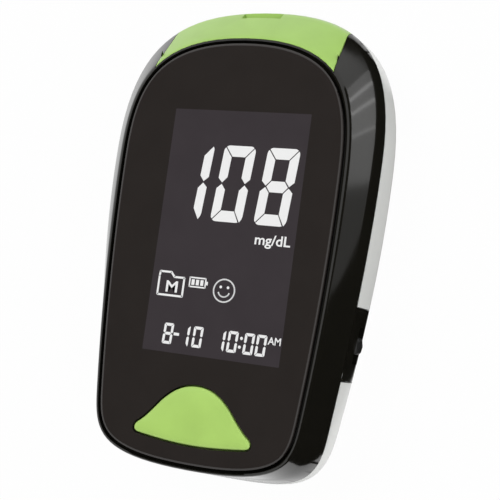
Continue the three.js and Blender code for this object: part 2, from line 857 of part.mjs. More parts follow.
// A bowed leaf contact under the roof of the socket's channel, one for each electrode of a strip.
function stripContact() {
  const half = stripContactLength / 2;
  const low = stripContactThickness;
  const profile = [
    [-half, 0],
    [-half, -low],
    [-half / 3, -low],
    [half / 3, -low - stripContactBow],
    [half, -low - stripContactBow / 3],
    [half, -stripContactBow / 3],
    [half / 3, -stripContactBow],
    [-half / 4, 0],
  ].map(([y, z]) => new THREE.Vector2(y, z));
  const leaf = new THREE.ExtrudeGeometry(new THREE.Shape(profile), {
    depth: stripContactWidth,
    bevelEnabled: false,
  });
  leaf.translate(0, 0, -stripContactWidth / 2).rotateY(Math.PI / 2).rotateX(Math.PI / 2);
  return solid(leaf);
}

function mainBoard() {
  const sheet = prism(inset(bodyOutline, boardInset), boardBottom, boardTop);
  const notches = screwPlaces.map(([x, y]) =>
    rod(x, y, [0, bodyHeight], screwBossDiameter / 2 + fitGap),
  );
  const holes = boardScrewPlaces.map(([x, y]) =>
    rod(x, y, [0, bodyHeight], boardScrewDiameter / 2 + fitGap / 2, smallSides),
  );
  const end = block(
    [-bodyWidth, bodyWidth],
    [topY - boardTopMargin, topY],
    [boardBottom - overrun, boardTop + overrun],
  );
  return cut(sheet, end, ...notches, ...holes);
}

const displayGlass = () => block([-glassHalf, glassHalf], glassEnds, [glassBottom, glassTop]);
const backlight = () =>
  block([-glassHalf, glassHalf], [glassEnds[0], glassEnds[1] - contactLedge], [boardTop, glassBottom]);
const zebraStrip = () =>
  block(
    [-glassHalf + zebraWidth, glassHalf - zebraWidth],
    [glassEnds[1] - fitGap - zebraWidth, glassEnds[1] - fitGap],
    [boardTop, glassBottom],
  );

// The moulded frame that holds the display's glass and backlight on the board.
function displayFrame() {
  const grown = (margin) => [
    [-glassHalf - margin, glassHalf + margin],
    [glassEnds[0] - margin, glassEnds[1] + margin],
  ];
  const outer = block(...grown(fitGap + displayFrameWall), [boardTop, glassTop]);
  const inner = block(...grown(fitGap), [boardTop - overrun, glassTop + overrun]);
  return cut(outer, inner);
}

function microcontroller() {
  const half = chipSide / 2;
  return block([-half, half], [-half, half], [-chipThickness, 0]);
}

const buzzer = () =>
  turned([
    [0, -buzzerHeight],
    [buzzerDiameter / 2 - fitGap, -buzzerHeight],
    [buzzerDiameter / 2, fitGap - buzzerHeight],
    [buzzerDiameter / 2, 0],
    [0, 0],
  ]);

// A cell along Y: it starts at its flat end and ends in its nub.
function cell() {
  const radius = cellDiameter / 2;
  const body = cellLength - cellNubLength;
  const profile = [
    [0, 0],
    [radius - fitGap, 0],
    [radius, fitGap],
    [radius, body - fitGap],
    [radius - fitGap, body],
    [cellNubDiameter / 2, body],
    [cellNubDiameter / 2, cellLength],
    [0, cellLength],
  ].map(([r, y]) => new THREE.Vector2(r, y));
  return solid(new THREE.LatheGeometry(profile, cellSides));
}

// A contact plate on a compartment wall, with or without the coil that presses on a cell's flat end.
// It stands in the XZ plane, and the coil runs towards +Y.
function contactPlate(halfWidth, coilX) {
  const radius = (cellSpringDiameter - cellSpringWire) / 2;
  const plate = block(
    [-halfWidth, halfWidth],
    [0, contactThickness],
    [-contactSide / 2, contactSide / 2],
  );
  if (coilX === undefined) return plate;
  const reach = cellSpringLength - cellSpringWire;
  const coil = wire(
    new Helix(radius, radius / 2, reach, cellSpringTurns),
    cellSpringWire,
    cellSpringTurns * stepsPerTurn,
  );
  return join(plate, coil.translate([coilX, contactThickness, 0]));
}

function setKey() {
  const radius = setKeyDiameter / 2;
  const flangeBottom = setKeyReach + compartmentWall + fitGap;
  const flangeTop = flangeBottom + setKeyFlangeThickness;
  return turned([
    [0, 0],
    [radius - fitGap, 0],
    [radius, fitGap],
    [radius, flangeBottom],
    [radius + setKeyFlange, flangeBottom],
    [radius + setKeyFlange, flangeTop],
    [radius, flangeTop],
    [radius, setKeyHeight],
    [0, setKeyHeight],
  ]);
}

// A pan-head screw that points up: its head hangs below z = 0.
function screw(diameter, headDiameter, headHeight, length) {
  const head = headDiameter / 2;
  const shank = diameter / 2;
  const body = turned(
    [
      [0, -headHeight],
      [head * screwCrownShare, -headHeight],
      [head, -headHeight * screwEdgeShare],
      [head, 0],
      [shank, 0],
      [shank, length - shank],
      [0, length],
    ],
    smallSides,
  );
  const blade = diameter * screwBladeShare;
  const slot = (wide, deep) =>
    block([-wide / 2, wide / 2], [-deep / 2, deep / 2], [-headHeight - shank, shank / 2 - headHeight]);
  return cut(body, slot(diameter, blade), slot(blade, diameter));
}

function placed(mesh, x, y, z) {
  mesh.position.set(x, y, z);
  return mesh;
}

function housing() {
  const group = new THREE.Group();
  group.add(
    piece("front_bezel", frontBezel(), "black"),
    piece("top_cap", topCap(), "green"),
    piece("face_lens", faceLens(), "lens"),
    piece("rear_case", rearCase(), "silver"),
    piece("battery_door", batteryDoor(), "silver"),
  );
  const caseScrew = screw(screwDiameter, screwHeadDiameter, screwHeadHeight, screwLength);
  screwPlaces.forEach(([x, y], i) =>
    group.add(placed(piece("case_screw_" + (i + 1), caseScrew, "steel"), x, y, screwSeat)),
  );
  return group;
}

function keys() {
  const group = new THREE.Group();
  const domeHeight = shelfBottom - fitGap - buttonFlangeThickness - boardTop;
  const setRadius = setKeyDiameter / 2;
  group.add(
    piece("main_button", mainButton(), "green"),
    placed(
      piece("button_dome", dome(domeBaseRadius, domeTopRadius, domeHeight, buttonTravel), "rubber"),
      0,
      buttonCentreY,
      boardTop,
    ),
    placed(piece("set_button", setKey(), "dark"), setKeyX, setKeyY, setKeyBottom),
  );
  const setDome = piece(
    "set_dome",
    dome(setRadius + setKeyFlange, setRadius, setDomeHeight, setKeyTravel),
    "rubber",
  );
  setDome.rotation.x = Math.PI;
  group.add(placed(setDome, setKeyX, setKeyY, boardBottom));
  return group;
}

function display() {
  const group = new THREE.Group();
  group.add(
    piece("display_glass", displayGlass(), "glass"),
    piece("backlight_panel", backlight(), "frame"),
    piece("display_frame", displayFrame(), "frame"),
    piece("zebra_strip", zebraStrip(), "rubber"),
  );
  return group;
}

function electronics() {
  const group = new THREE.Group();
  group.add(
    piece("main_board", mainBoard(), "board"),
    placed(piece("microcontroller", microcontroller(), "dark"), chipX, chipY, boardBottom),
    placed(piece("buzzer", buzzer(), "brass"), buzzerX, buzzerY, boardBottom),
    piece("strip_socket", stripSocket(), "frame"),
  );
  const leaf = stripContact();
  const roof = boardBottom - socketHeight / 2 + stripSpace / 2;
  [-1, 0, 1].forEach((side, i) =>
    group.add(
      placed(
        piece("strip_contact_" + (i + 1), leaf, "brass"),
        side * stripContactPitch,
        socketFrontY - stripContactLength,
        roof,
      ),
    ),
  );
  const boardScrew = screw(
    boardScrewDiameter,
    boardScrewHeadDiameter,
    boardScrewHeadHeight,
    boardScrewLength,
  );
  boardScrewPlaces.forEach(([x, y], i) =>
    group.add(placed(piece("board_screw_" + (i + 1), boardScrew, "steel"), x, y, boardBottom)),
  );
  return group;
}

function ejector() {
  const group = new THREE.Group();
  group.add(
    piece("ejector_slide", ejectorSlide(), "dark"),
    placed(
      piece("ejector_spring", returnSpring(), "steel"),
      armX + armWidth / 2 + fitGap + springDiameter / 2,
      springStartY + springWire / 2,
      (armBottom + armTop) / 2,
    ),
  );
  return group;
}

function power() {
  const group = new THREE.Group();
  const cellZ = cellBottom + cellDiameter / 2;
  const side = cellPitch / 2;
  const frontFace = compartmentFrontY - contactThickness;
  const rearFace = compartmentEndY + contactThickness;
  const first = piece("battery_1", cell(), "cell");
  placed(first, -side, frontFace - cellGap - cellLength, cellZ);
  const second = piece("battery_2", cell(), "cell");
  second.rotation.z = Math.PI;
  placed(second, side, rearFace + cellGap + cellLength, cellZ);
  const plus = piece("contact_plus", contactPlate(contactSide / 2), "steel");
  placed(plus, -side, frontFace, cellZ);
  const minus = piece("contact_minus", contactPlate(contactSide / 2, 0), "steel");
  minus.rotation.z = Math.PI;
  placed(minus, side, compartmentFrontY, cellZ);
  const bridge = piece(
    "contact_bridge",
    contactPlate(side + contactSide / 2, -side),
    "steel",
  );
  placed(bridge, 0, compartmentEndY, cellZ);
  group.add(first, second, plus, minus, bridge);
  return group;
}

const meter = new THREE.Group();
meter.add(housing(), keys(), display(), electronics(), ejector(), power());

export default meter;
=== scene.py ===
"""The finished look of a blood glucose meter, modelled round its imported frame.

Everything is in metres. The meter lies on its back, so +Z comes out of the face, +Y points to the
strip port and +X is right.
"""

import logging
import math
from collections.abc import Callable, Iterator, Sequence
from contextlib import contextmanager
from dataclasses import dataclass, field, replace
from enum import Enum

import bmesh
import bpy
from mathutils import Matrix, Vector


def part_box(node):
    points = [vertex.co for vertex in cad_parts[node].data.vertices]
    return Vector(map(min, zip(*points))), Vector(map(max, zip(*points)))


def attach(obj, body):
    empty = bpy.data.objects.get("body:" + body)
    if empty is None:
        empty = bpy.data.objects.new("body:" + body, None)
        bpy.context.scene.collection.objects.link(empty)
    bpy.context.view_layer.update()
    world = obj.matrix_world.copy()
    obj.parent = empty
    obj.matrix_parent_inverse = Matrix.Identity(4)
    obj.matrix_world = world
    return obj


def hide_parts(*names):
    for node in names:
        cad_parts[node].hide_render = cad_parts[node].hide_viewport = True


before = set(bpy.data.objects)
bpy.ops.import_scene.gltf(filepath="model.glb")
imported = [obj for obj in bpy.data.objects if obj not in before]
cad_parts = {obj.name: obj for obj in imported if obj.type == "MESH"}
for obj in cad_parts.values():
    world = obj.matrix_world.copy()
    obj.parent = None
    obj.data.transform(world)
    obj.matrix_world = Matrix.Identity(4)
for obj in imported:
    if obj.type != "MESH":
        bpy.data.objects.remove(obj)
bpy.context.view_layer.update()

MM = 0.001
OVERRUN = 1 * MM
WELD = 0.001 * MM
CAPITAL_SHARE = 0.7
LETTER_WEIGHT = 0.022
LOG = logging.getLogger("meter")

Point = tuple[float, float]
Place = tuple[float, float, float]
Piece = bpy.types.Object
Tree = bpy.types.NodeTree
Node = bpy.types.Node
Socket = bpy.types.NodeSocket


def mm(*values: float) -> tuple[float, ...]:
    """Lengths given in millimetres."""
    return tuple(value * MM for value in values)


class Body(Enum):
    """The bodies of the frame that a piece can ride on."""

    CASE = "case"
    MAIN_KEY = "main_key"
    SET_KEY = "set_key"
    EJECTOR = "ejector"
    DOOR = "door"


class Cut(Enum):
    """What a tool does to the solid that it is laid over."""

    REMOVE = "DIFFERENCE"
    ADD = "UNION"
    KEEP = "INTERSECT"


def select_only(*pieces: Piece) -> None:
    """Selects the pieces and nothing else, and makes the first one active.

    Args:
        pieces: What to select.
    """
    bpy.ops.object.select_all(action="DESELECT")
    for piece in pieces:
        piece.select_set(True)
    bpy.context.view_layer.objects.active = pieces[0]


@contextmanager
def editing(piece: Piece, element: str = "VERT") -> Iterator[bmesh.types.BMesh]:
    """Opens a piece in edit mode with nothing selected.

    Args:
        piece: The mesh to edit.
        element: VERT or EDGE, the kind of element to select.

    Yields:
        The mesh while it is edited.
    """
    select_only(piece)
    bpy.ops.object.mode_set(mode="EDIT")
    bpy.ops.mesh.select_mode(type=element)
    bpy.ops.mesh.select_all(action="DESELECT")
    try:
        yield bmesh.from_edit_mesh(piece.data)
    finally:
        bpy.ops.object.mode_set(mode="OBJECT")


def select_whole() -> None:
    """Selects the whole mesh in edit mode."""
    bpy.ops.mesh.select_all(action="SELECT")


def face_outwards() -> None:
    """Turns every face of the mesh in edit mode outwards."""
    select_whole()
    bpy.ops.mesh.normals_make_consistent(inside=False)


def named(piece: Piece, name: str) -> Piece:
    """Gives a piece and its mesh their name.

    Args:
        piece: The object to name.
        name: Its new name.

    Returns:
        The same object.
    """
    piece.name = name
    piece.data.name = name
    return piece


def applied(piece: Piece, kind: str, **settings: object) -> Piece:
    """Adds one modifier to a piece and applies it.

    Args:
        piece: The mesh to change.
        kind: The modifier's type.
        settings: The modifier's own values.

    Returns:
        The same piece.
    """
    select_only(piece)
    modifier = piece.modifiers.new(kind.title(), kind)
    for key, value in settings.items():
        setattr(modifier, key, value)
    bpy.ops.object.modifier_apply(modifier=modifier.name)
    return piece


def combined(piece: Piece, action: Cut, *tools: Piece) -> Piece:
    """Cuts, joins or keeps with each tool in turn, and deletes the tools.

    Args:
        piece: The solid to change.
        action: What each tool does to it.
        tools: The solids that are laid over it.

    Returns:
        The changed solid.
    """
    for tool in tools:
        applied(piece, "BOOLEAN", operation=action.value, solver="EXACT", object=tool)
        bpy.data.objects.remove(tool)
    return piece


def copied(piece: Piece, name: str) -> Piece:
    """A copy of a piece with a mesh of its own.

    Args:
        piece: The piece to copy.
        name: The copy's name.

    Returns:
        The copy.
    """
    double = piece.copy()
    double.data = piece.data.copy()
    bpy.context.scene.collection.objects.link(double)
    return named(double, name)


def joined(pieces: Sequence[Piece], name: str) -> Piece:
    """Makes several meshes one piece.

    Args:
        pieces: The meshes to join.
        name: The name of the whole.

    Returns:
        The whole.
    """
    select_only(*pieces)
    if len(pieces) > 1:
        bpy.ops.object.join()
    return named(bpy.context.object, name)


def smoothed(piece: Piece, angle: float = 32) -> Piece:
    """Shades a piece smooth, with its edges over the angle in degrees kept crisp.

    Args:
        piece: The mesh to shade.
        angle: Edges sharper than this stay crisp.

    Returns:
        The same piece.
    """
    select_only(piece)
    bpy.ops.object.shade_smooth_by_angle(angle=math.radians(angle))
    return piece


def bevelled(piece: Piece, width: float, steps: int = 4, angle: float = 30) -> Piece:
    """Rounds the edges of a piece that turn by more than an angle in degrees."""
    settings = {"width": width, "segments": steps, "angle_limit": math.radians(angle)}
    return applied(piece, "BEVEL", limit_method="ANGLE", **settings)


def block(name: str, low: Sequence[float], high: Sequence[float]) -> Piece:
    """A box between two corners.

    Args:
        name: The piece's name.
        low: Its corner at the lower ends.
        high: The opposite corner.

    Returns:
        The box.
    """
    low, high = Vector(low), Vector(high)
    bpy.ops.mesh.primitive_cube_add(size=1, location=(low + high) / 2)
    box = bpy.context.object
    box.scale = high - low
    bpy.ops.object.transform_apply()
    return named(box, name)


def centred(name: str, half: float, ends: Point, heights: Point) -> Piece:
    """A box that reaches as far to the left of the middle as to the right."""
    return block(name, (-half, ends[0], heights[0]), (half, ends[1], heights[1]))


def rod(name: str, centre: Point, bottom: float, top: float, radius: float, sides: int = 48) -> Piece:
    """A round bar along Z.

    Args:
        name: The piece's name.
        centre: Its axis, across the case and along it.
        bottom: Height of its lower end.
        top: Height of its upper end.
        radius: Its radius.
        sides: Facets round it.

    Returns:
        The bar.
    """
    bpy.ops.mesh.primitive_cylinder_add(
        vertices=sides,
        radius=radius,
        depth=top - bottom,
        location=(*centre, (bottom + top) / 2),
    )
    bpy.ops.object.transform_apply()
    return named(bpy.context.object, name)


def turned(name: str, profile: Sequence[Point], steps: int = 48) -> Piece:
    """A solid of revolution about Z.

    Args:
        name: The piece's name.
        profile: Points of radius and height, from the axis at one end to the axis at the other.
        steps: Facets round the axis.

    Returns:
        The turned piece.
    """
    bpy.ops.mesh.primitive_circle_add(vertices=len(profile), radius=1 * MM)
    lathe = bpy.context.object
    with editing(lathe) as mesh:
        mesh.verts.ensure_lookup_table()
        for vertex, (radius, height) in zip(mesh.verts, profile):
            vertex.co = (radius, 0, height)
        mesh.edges.remove(mesh.edges.get((mesh.verts[0], mesh.verts[-1])))
        bmesh.update_edit_mesh(lathe.data)
        select_whole()
        bpy.ops.mesh.spin(steps=steps, angle=math.tau, center=(0, 0, 0), axis=(0, 0, 1))
        select_whole()
        bpy.ops.mesh.remove_doubles(threshold=WELD)
        face_outwards()
    return named(lathe, name)


def moved(piece: Piece, to: Sequence[float], turn: float = 0, axis: str | Vector = "Z") -> Piece:
    """Turns a piece about the origin by an angle in radians, then moves it, inside its mesh."""
    piece.data.transform(Matrix.Translation(to) @ Matrix.Rotation(turn, 4, axis))
    return piece


@dataclass(frozen=True)
class Knot:
    """One point of a closed curve, with the handles before and after it."""

    before: Vector
    at: Vector
    after: Vector

    def towards(self, other: "Knot", share: float) -> "Knot":
        """The knot that lies a share of the way to another."""
        return Knot(
            self.before.lerp(other.before, share),
            self.at.lerp(other.at, share),
            self.after.lerp(other.after, share),
        )


@dataclass(frozen=True)
class Arch:
    """A line along the case that arches over its middle and falls to both ends."""

    crown: float
    top_fall: float
    bottom_fall: float
    reach: float = 48 * MM

    def rise(self, y: float) -> float:
        """How far the line lies above its own height at a place along the case."""
        fall = self.top_fall if y > 0 else self.bottom_fall
        return self.crown - fall * (y / self.reach) ** 2


@dataclass(frozen=True)
class Ring:
    """A closed curve at one height, lifted by shares of arches."""

    knots: tuple[Knot, ...]
    z: float
    lifts: tuple[tuple[Arch, float], ...] = ()

    def towards(self, other: "Ring", share: float) -> "Ring":
        """The ring that lies a share of the way to another.

        Args:
            other: The ring to go to.
            share: How much of the way.

        Returns:
            The ring between.
        """
        pairs = zip(self.knots, other.knots)
        mine = tuple((arch, part * (1 - share)) for arch, part in self.lifts)
        theirs = tuple((arch, part * share) for arch, part in other.lifts)
        return Ring(
            tuple(near.towards(far, share) for near, far in pairs),
            self.z + (other.z - self.z) * share,
            mine + theirs,
        )

    def arched(self, arch: Arch) -> "Ring":
        """The ring lifted by an arch."""
        return replace(self, lifts=((arch, 1),))

    def loop(self, steps: int) -> Piece:
        """Draws the ring as a Bezier curve and makes it a loop of edges.

        Args:
            steps: Edges between two knots.

        Returns:
            The loop.
        """
        bpy.ops.curve.primitive_bezier_circle_add(radius=1, location=(0, 0, 0))
        curve = bpy.context.object
        curve.data.dimensions = "3D"
        curve.data.resolution_u = steps
        spline = curve.data.splines[0]
        spline.bezier_points.add(len(self.knots) - len(spline.bezier_points))
        for point, knot in zip(spline.bezier_points, self.knots):
            point.handle_left_type = "FREE"
            point.handle_right_type = "FREE"
            point.handle_left = (*knot.before, self.z)
            point.co = (*knot.at, self.z)
            point.handle_right = (*knot.after, self.z)
        select_only(curve)
        bpy.ops.object.convert(target="MESH")
        loop = bpy.context.object
        for vertex in loop.data.vertices:
            vertex.co.z += sum(part * arch.rise(vertex.co.y) for arch, part in self.lifts)
        return loop


@dataclass(frozen=True)
class Outline:
    """An outline that is alike on its left and right.

    shares holds the cubic stretches of its right half, from the top middle down, as shares of the
    half width and the half length. It is drawn in all round by inset.
    """

    shares: tuple[tuple[Point, Point, Point, Point], ...]
    half_width: float
    half_length: float
    centre_y: float = 0
    inset: float = 0

    def shrunk(self, by: float) -> "Outline":
        """The outline drawn in all round by a distance."""
        return replace(self, inset=self.inset + by)

    def drawn_in(self, stretch: Sequence[Vector]) -> list[Vector]:
        """One cubic stretch moved inwards, its handles shortened as its ends come closer.

        Args:
            stretch: Its start, its two handles and its end.

        Returns:
            The four points of the moved stretch.
        """
        start, leave, arrive, end = stretch
        ways = [(leave - start).normalized(), (end - arrive).normalized()]
        first, last = (
            point + Vector((way.y, -way.x)) * self.inset for point, way in zip((start, end), ways)
        )
        scale = (last - first).length / (end - start).length
        return [first, first + (leave - start) * scale, last + (arrive - end) * scale, last]

    def at(self, z: float) -> Ring:
        """The outline as a ring at a height.

        Args:
            z: The ring's height.

        Returns:
            The ring.
        """
        right = [
            self.drawn_in(
                [Vector((x * self.half_width, self.centre_y + y * self.half_length)) for x, y in row]
            )
            for row in self.shares
        ]
        left = [[Vector((-p.x, p.y)) for p in reversed(row)] for row in reversed(right)]
        rows = right + left
        return Ring(tuple(Knot(rows[i - 1][2], row[0], row[1]) for i, row in enumerate(rows)), z)

    def squeezed(self, share: float) -> "Outline":
        """The outline as a share of its size, about its middle."""
        return replace(
            self, half_width=self.half_width * share, half_length=self.half_length * share
        )


def rounded(before: Ring, corner: Ring, after: Ring, steps: int = 4) -> list[Ring]:
    """Rings that round a corner of a section.

    Args:
        before: The ring where the round starts.
        corner: The ring at the sharp corner.
        after: The ring where the round ends.
        steps: Facets across the round.

    Returns:
        The rings from the start of the round to its end.
    """
    shares = [i / steps for i in range(steps + 1)]
    return [
        before.towards(corner, share).towards(corner.towards(after, share), share)
        for share in shares
    ]


def loft(name: str, rings: Sequence[Ring], steps: int = 20) -> Piece:
    """A closed solid through rings, from the lowest to the highest.

    Args:
        name: The piece's name.
        rings: Rings with as many knots each.
        steps: Edges between two knots.

    Returns:
        The solid.
    """
    solid = joined([ring.loop(steps) for ring in rings], name)
    with editing(solid, "EDGE"):
        select_whole()
        bpy.ops.mesh.bridge_edge_loops(type="SINGLE")
        select_whole()
        bpy.ops.mesh.fill_holes(sides=0)
        face_outwards()
    return solid


def prism(name: str, outline: Outline, bottom: float, top: float, steps: int = 20) -> Piece:
    """A straight solid on an outline."""
    return loft(name, [outline.at(bottom), outline.at(top)], steps)


def chosen(mesh: bmesh.types.BMesh, test: Callable[[Vector], bool]) -> None:
    """Selects the vertices whose place passes a test, and what lies between them.

    Args:
        mesh: The mesh in edit mode.
        test: Says whether a place is chosen.
    """
    for vertex in mesh.verts:
        vertex.select_set(test(vertex.co))
    mesh.select_flush(True)


def plate(name: str, points: Sequence[Point], bottom: float, top: float, corner: float = 0) -> Piece:
    """A flat plate on a polygon.

    Args:
        name: The piece's name.
        points: The polygon's corners, in order.
        bottom: Height of its underside.
        top: Height of its upper side.
        corner: How far its corners are rounded.

    Returns:
        The plate.
    """
    bpy.ops.object.select_all(action="DESELECT")
    bpy.ops.mesh.primitive_circle_add(vertices=len(points), radius=1 * MM, fill_type="NGON")
    sheet = bpy.context.object
    with editing(sheet) as mesh:
        mesh.verts.ensure_lookup_table()
        for vertex, (x, y) in zip(mesh.verts, points):
            vertex.co = (x, y, bottom)
        bmesh.update_edit_mesh(sheet.data)
        select_whole()
        if corner:
            bpy.ops.mesh.bevel(offset=corner, segments=4, affect="VERTICES")
            select_whole()
        bpy.ops.mesh.extrude_region_move(TRANSFORM_OT_translate={"value": (0, 0, top - bottom)})
        face_outwards()
    return named(sheet, name)


def lettering(name: str, words: str, place: Point, size: Point, heights: Point) -> Piece:
    """Printed characters as a thin raised mesh.

    Args:
        name: The piece's name.
        words: The characters.
        place: Their lower left corner.
        size: Width of the whole and height of a capital.
        heights: Heights of the print's underside and upper side.

    Returns:
        The characters as one mesh.
    """
    width, height = size
    bottom, top = heights
    bpy.ops.object.select_all(action="DESELECT")
    bpy.ops.object.text_add(location=(0, 0, 0))
    text = bpy.context.object.data
    text.body = words
    text.size = height / CAPITAL_SHARE
    text.extrude = (top - bottom) / 2
    text.offset = height * LETTER_WEIGHT
    text.resolution_u = 6
    bpy.ops.object.convert(target="MESH")
    letters = bpy.context.object
    with editing(letters):
        select_whole()
        bpy.ops.mesh.remove_doubles(threshold=WELD / 2)
        face_outwards()
    letters.data.transform(Matrix.Scale(width / letters.dimensions.x, 4, (1, 0, 0)))
    return named(moved(letters, (*place, (bottom + top) / 2)), name)


def rectangle(left: float, bottom: float, right: float, top: float) -> list[Point]:
    """The corners of a rectangle, in order."""
    return [(left, bottom), (right, bottom), (right, top), (left, top)]


def arc(centre: Point, radius: float, start: float, span: float, steps: int) -> list[Point]:
    """Points along an arc, from an angle in degrees over a span of more."""
    angles = [math.radians(start + span * i / steps) for i in range(steps + 1)]
    return [(centre[0] + radius * math.cos(a), centre[1] + radius * math.sin(a)) for a in angles]


def wired(node: Node, inputs: dict[str | int, object]) -> Node:
    """Gives a shader node its inputs: a link for each socket, and a value for the rest.

    Args:
        node: The node.
        inputs: Sockets and values, by the input's name or number.

    Returns:
        The same node.
    """
    for name, value in inputs.items():
        if isinstance(value, Socket):
            node.id_data.links.new(value, node.inputs[name])
        else:
            node.inputs[name].default_value = value
    return node


def added(tree: Tree, kind: str, inputs: dict[str | int, object]) -> Node:
    """Adds a shader node with its inputs."""
    return wired(tree.nodes.new(f"ShaderNode{kind}"), inputs)


def noise(tree: Tree, place: Socket, size: float, detail: float) -> Socket:
    """A noise whose spots are about a size in metres."""
    inputs = {"Vector": place, "Scale": 1 / size, "Detail": detail}
    return added(tree, "TexNoise", inputs).outputs["Fac"]


def mixed(tree: Tree, share: Socket, first: Socket, second: Socket) -> Socket:
    """A shader that goes from the first to the second by a share."""
    return added(tree, "MixShader", {0: share, 1: first, 2: second}).outputs[0]


def seen(tree: Tree) -> Socket:
    """A value that is 1 for rays that should meet the white background.

    Args:
        tree: The node tree of a material or the world.

    Returns:
        The value's socket.
    """
    rays = added(tree, "LightPath", {})
    total = rays.outputs["Is Camera Ray"]
    for kind in ("Is Glossy Ray", "Is Transmission Ray"):
        either = added(tree, "Math", {0: total, 1: rays.outputs[kind]})
        either.operation = "MAXIMUM"
        total = either.outputs[0]
    return total


class Texture(Enum):
    """How a finish breaks up the light."""

    GLOSS = "gloss"
    SATIN = "satin"
    FLAKE = "flake"
    BRUSHED = "brushed"
    TRACES = "traces"


def linear(channel: float) -> float:
    """A linear colour value from a screen value of 0 to 255."""
    share = channel / 255
    return share / 12.92 if share <= 0.04045 else ((share + 0.055) / 1.055) ** 2.4


NOISE_SPAN = (0.3, 0.7)
TONE_SPOT = 6 * MM
WEAR_SPOT = 9 * MM
TRACE_PITCH = 2.4 * MM
BRUSH_STRETCH = 0.05
WHITE = (1, 1, 1, 1)


@dataclass(frozen=True)
class Finish:
    """A procedural material for one kind of moulding, metal or print.

    colour is in screen values of 0 to 255, grain the size of its fine texture and depth the height
    of it, and wear how far its roughness wanders over a few millimetres.
    """

    name: str
    colour: tuple[float, float, float]
    roughness: float
    texture: Texture = Texture.SATIN
    metallic: float = 0
    coat: float = 0
    coat_roughness: float = 0.05
    specular: float = 0.5
    grain: float = 0.12 * MM
    depth: float = 0.004 * MM
    strength: float = 0.4
    wear: float = 0.05
    tone: float = 0.04

    def material(self) -> bpy.types.Material:
        """The finish's material, made on first use.

        Returns:
            The material.
        """
        known = bpy.data.materials.get(self.name)
        if known:
            return known
        material = bpy.data.materials.new(self.name)
        material.use_nodes = True
        tree = material.node_tree
        shader = tree.nodes["Principled BSDF"]
        values = {
            "Metallic": self.metallic,
            "Coat Weight": self.coat,
            "Coat Roughness": self.coat_roughness,
            "Specular IOR Level": self.specular,
        }
        wired(shader, values)
        place = tree.nodes.new("ShaderNodeTexCoord").outputs["Object"]
        for dress in (self.dress_colour, self.dress_roughness, self.dress_relief):
            dress(tree, place, shader)
        return material

    def dress_colour(self, tree: Tree, place: Socket, shader: Node) -> None:
        """Gives the colour a slight drift in tone, and flakes or traces where it has them.

        Args:
            tree: The material's node tree.
            place: The place on the piece.
            shader: The node that takes the colour.
        """
        if self.texture is Texture.TRACES:
            inputs = {
                "Vector": place,
                "Scale": 1 / TRACE_PITCH,
                "Mortar Size": 0.06,
                "Color1": (0, 0, 0, 1),
                "Color2": (0.25, 0.25, 0.25, 1),
                "Mortar": WHITE,
            }
            value = added(tree, "TexBrick", inputs).outputs["Color"]
        elif self.texture is Texture.FLAKE:
            value = noise(tree, place, self.grain, 1)
        else:
            value = noise(tree, place, TONE_SPOT, 3)
        ramp = added(tree, "ValToRGB", {"Fac": value})
        base = Vector(linear(channel) for channel in self.colour)
        signs = (-1, 1)
        for stop, position, sign in zip(ramp.color_ramp.elements, NOISE_SPAN, signs):
            stop.position = position
            stop.color = (*(base * (1 + sign * self.tone)), 1)
        wired(shader, {"Base Color": ramp.outputs["Color"]})

    def dress_roughness(self, tree: Tree, place: Socket, shader: Node) -> None:
        """Lets the roughness wander, as handling does to a moulding.

        Args:
            tree: The material's node tree.
            place: The place on the piece.
            shader: The node that takes the roughness.
        """
        inputs = {
            "Value": noise(tree, place, WEAR_SPOT, 4),
            "From Min": NOISE_SPAN[0],
            "From Max": NOISE_SPAN[1],
            "To Min": self.roughness * (1 - self.wear),
            "To Max": self.roughness * (1 + self.wear),
        }
        wired(shader, {"Roughness": added(tree, "MapRange", inputs).outputs["Result"]})

    def dress_relief(self, tree: Tree, place: Socket, shader: Node) -> None:
        """Adds the relief: orange peel on gloss, grain on satin, scratches on brushed metal.

        Args:
            tree: The material's node tree.
            place: The place on the piece.
            shader: The node that takes the relief.
        """
        if self.texture is Texture.BRUSHED:
            stretch = {"Vector": place, "Scale": (1, BRUSH_STRETCH, 1)}
            place = added(tree, "Mapping", stretch).outputs["Vector"]
        inputs = {
            "Height": noise(tree, place, self.grain, 1 if self.texture is Texture.GLOSS else 4),
            "Strength": self.strength,
            "Distance": self.depth,
        }
        wired(shader, {"Normal": added(tree, "Bump", inputs).outputs["Normal"]})


GLOSS_BLACK = Finish(
    "Gloss black moulding",
    (22, 21, 17),
    0.1,
    Texture.GLOSS,
    grain=1.6 * MM,
    depth=0.0025 * MM,
    strength=0.25,
)
SMOKED = Finish(
    "Smoked lens",
    (45, 41, 39),
    0.07,
    Texture.GLOSS,
    grain=2.4 * MM,
    depth=0.002 * MM,
    strength=0.2,
)
DISPLAY_GREY = replace(SMOKED, name="Display behind the lens", colour=(62, 57, 60))
FIGURES = replace(
    SMOKED, name="Lit figures", colour=(245, 245, 245), roughness=0.12, tone=0.01
)
GREEN = Finish("Green moulding", (166, 206, 104), 0.34, grain=0.25 * MM, depth=0.003 * MM)
GREEN_KEY = replace(GREEN, name="Green key", colour=(178, 216, 112), roughness=0.3)
SILVER = Finish(
    "Silver painted moulding",
    (236, 237, 234),
    0.38,
    Texture.FLAKE,
    metallic=0.05,
    coat=0.3,
    coat_roughness=0.2,
    grain=0.09 * MM,
    tone=0.05,
)
CARD = Finish("Dark card", (8, 8, 8), 0.9, specular=0)
DARK = Finish("Dark moulding", (34, 34, 33), 0.42, grain=0.2 * MM, depth=0.005 * MM)
SILICONE = Finish("Silicone rubber", (188, 185, 176), 0.62, grain=0.3 * MM, depth=0.006 * MM)
WHITE_FRAME = Finish("White moulding", (232, 232, 228), 0.45, grain=0.25 * MM)
BOARD = Finish("Board with traces", (24, 92, 52), 0.35, Texture.TRACES, tone=0.3, coat=0.4)
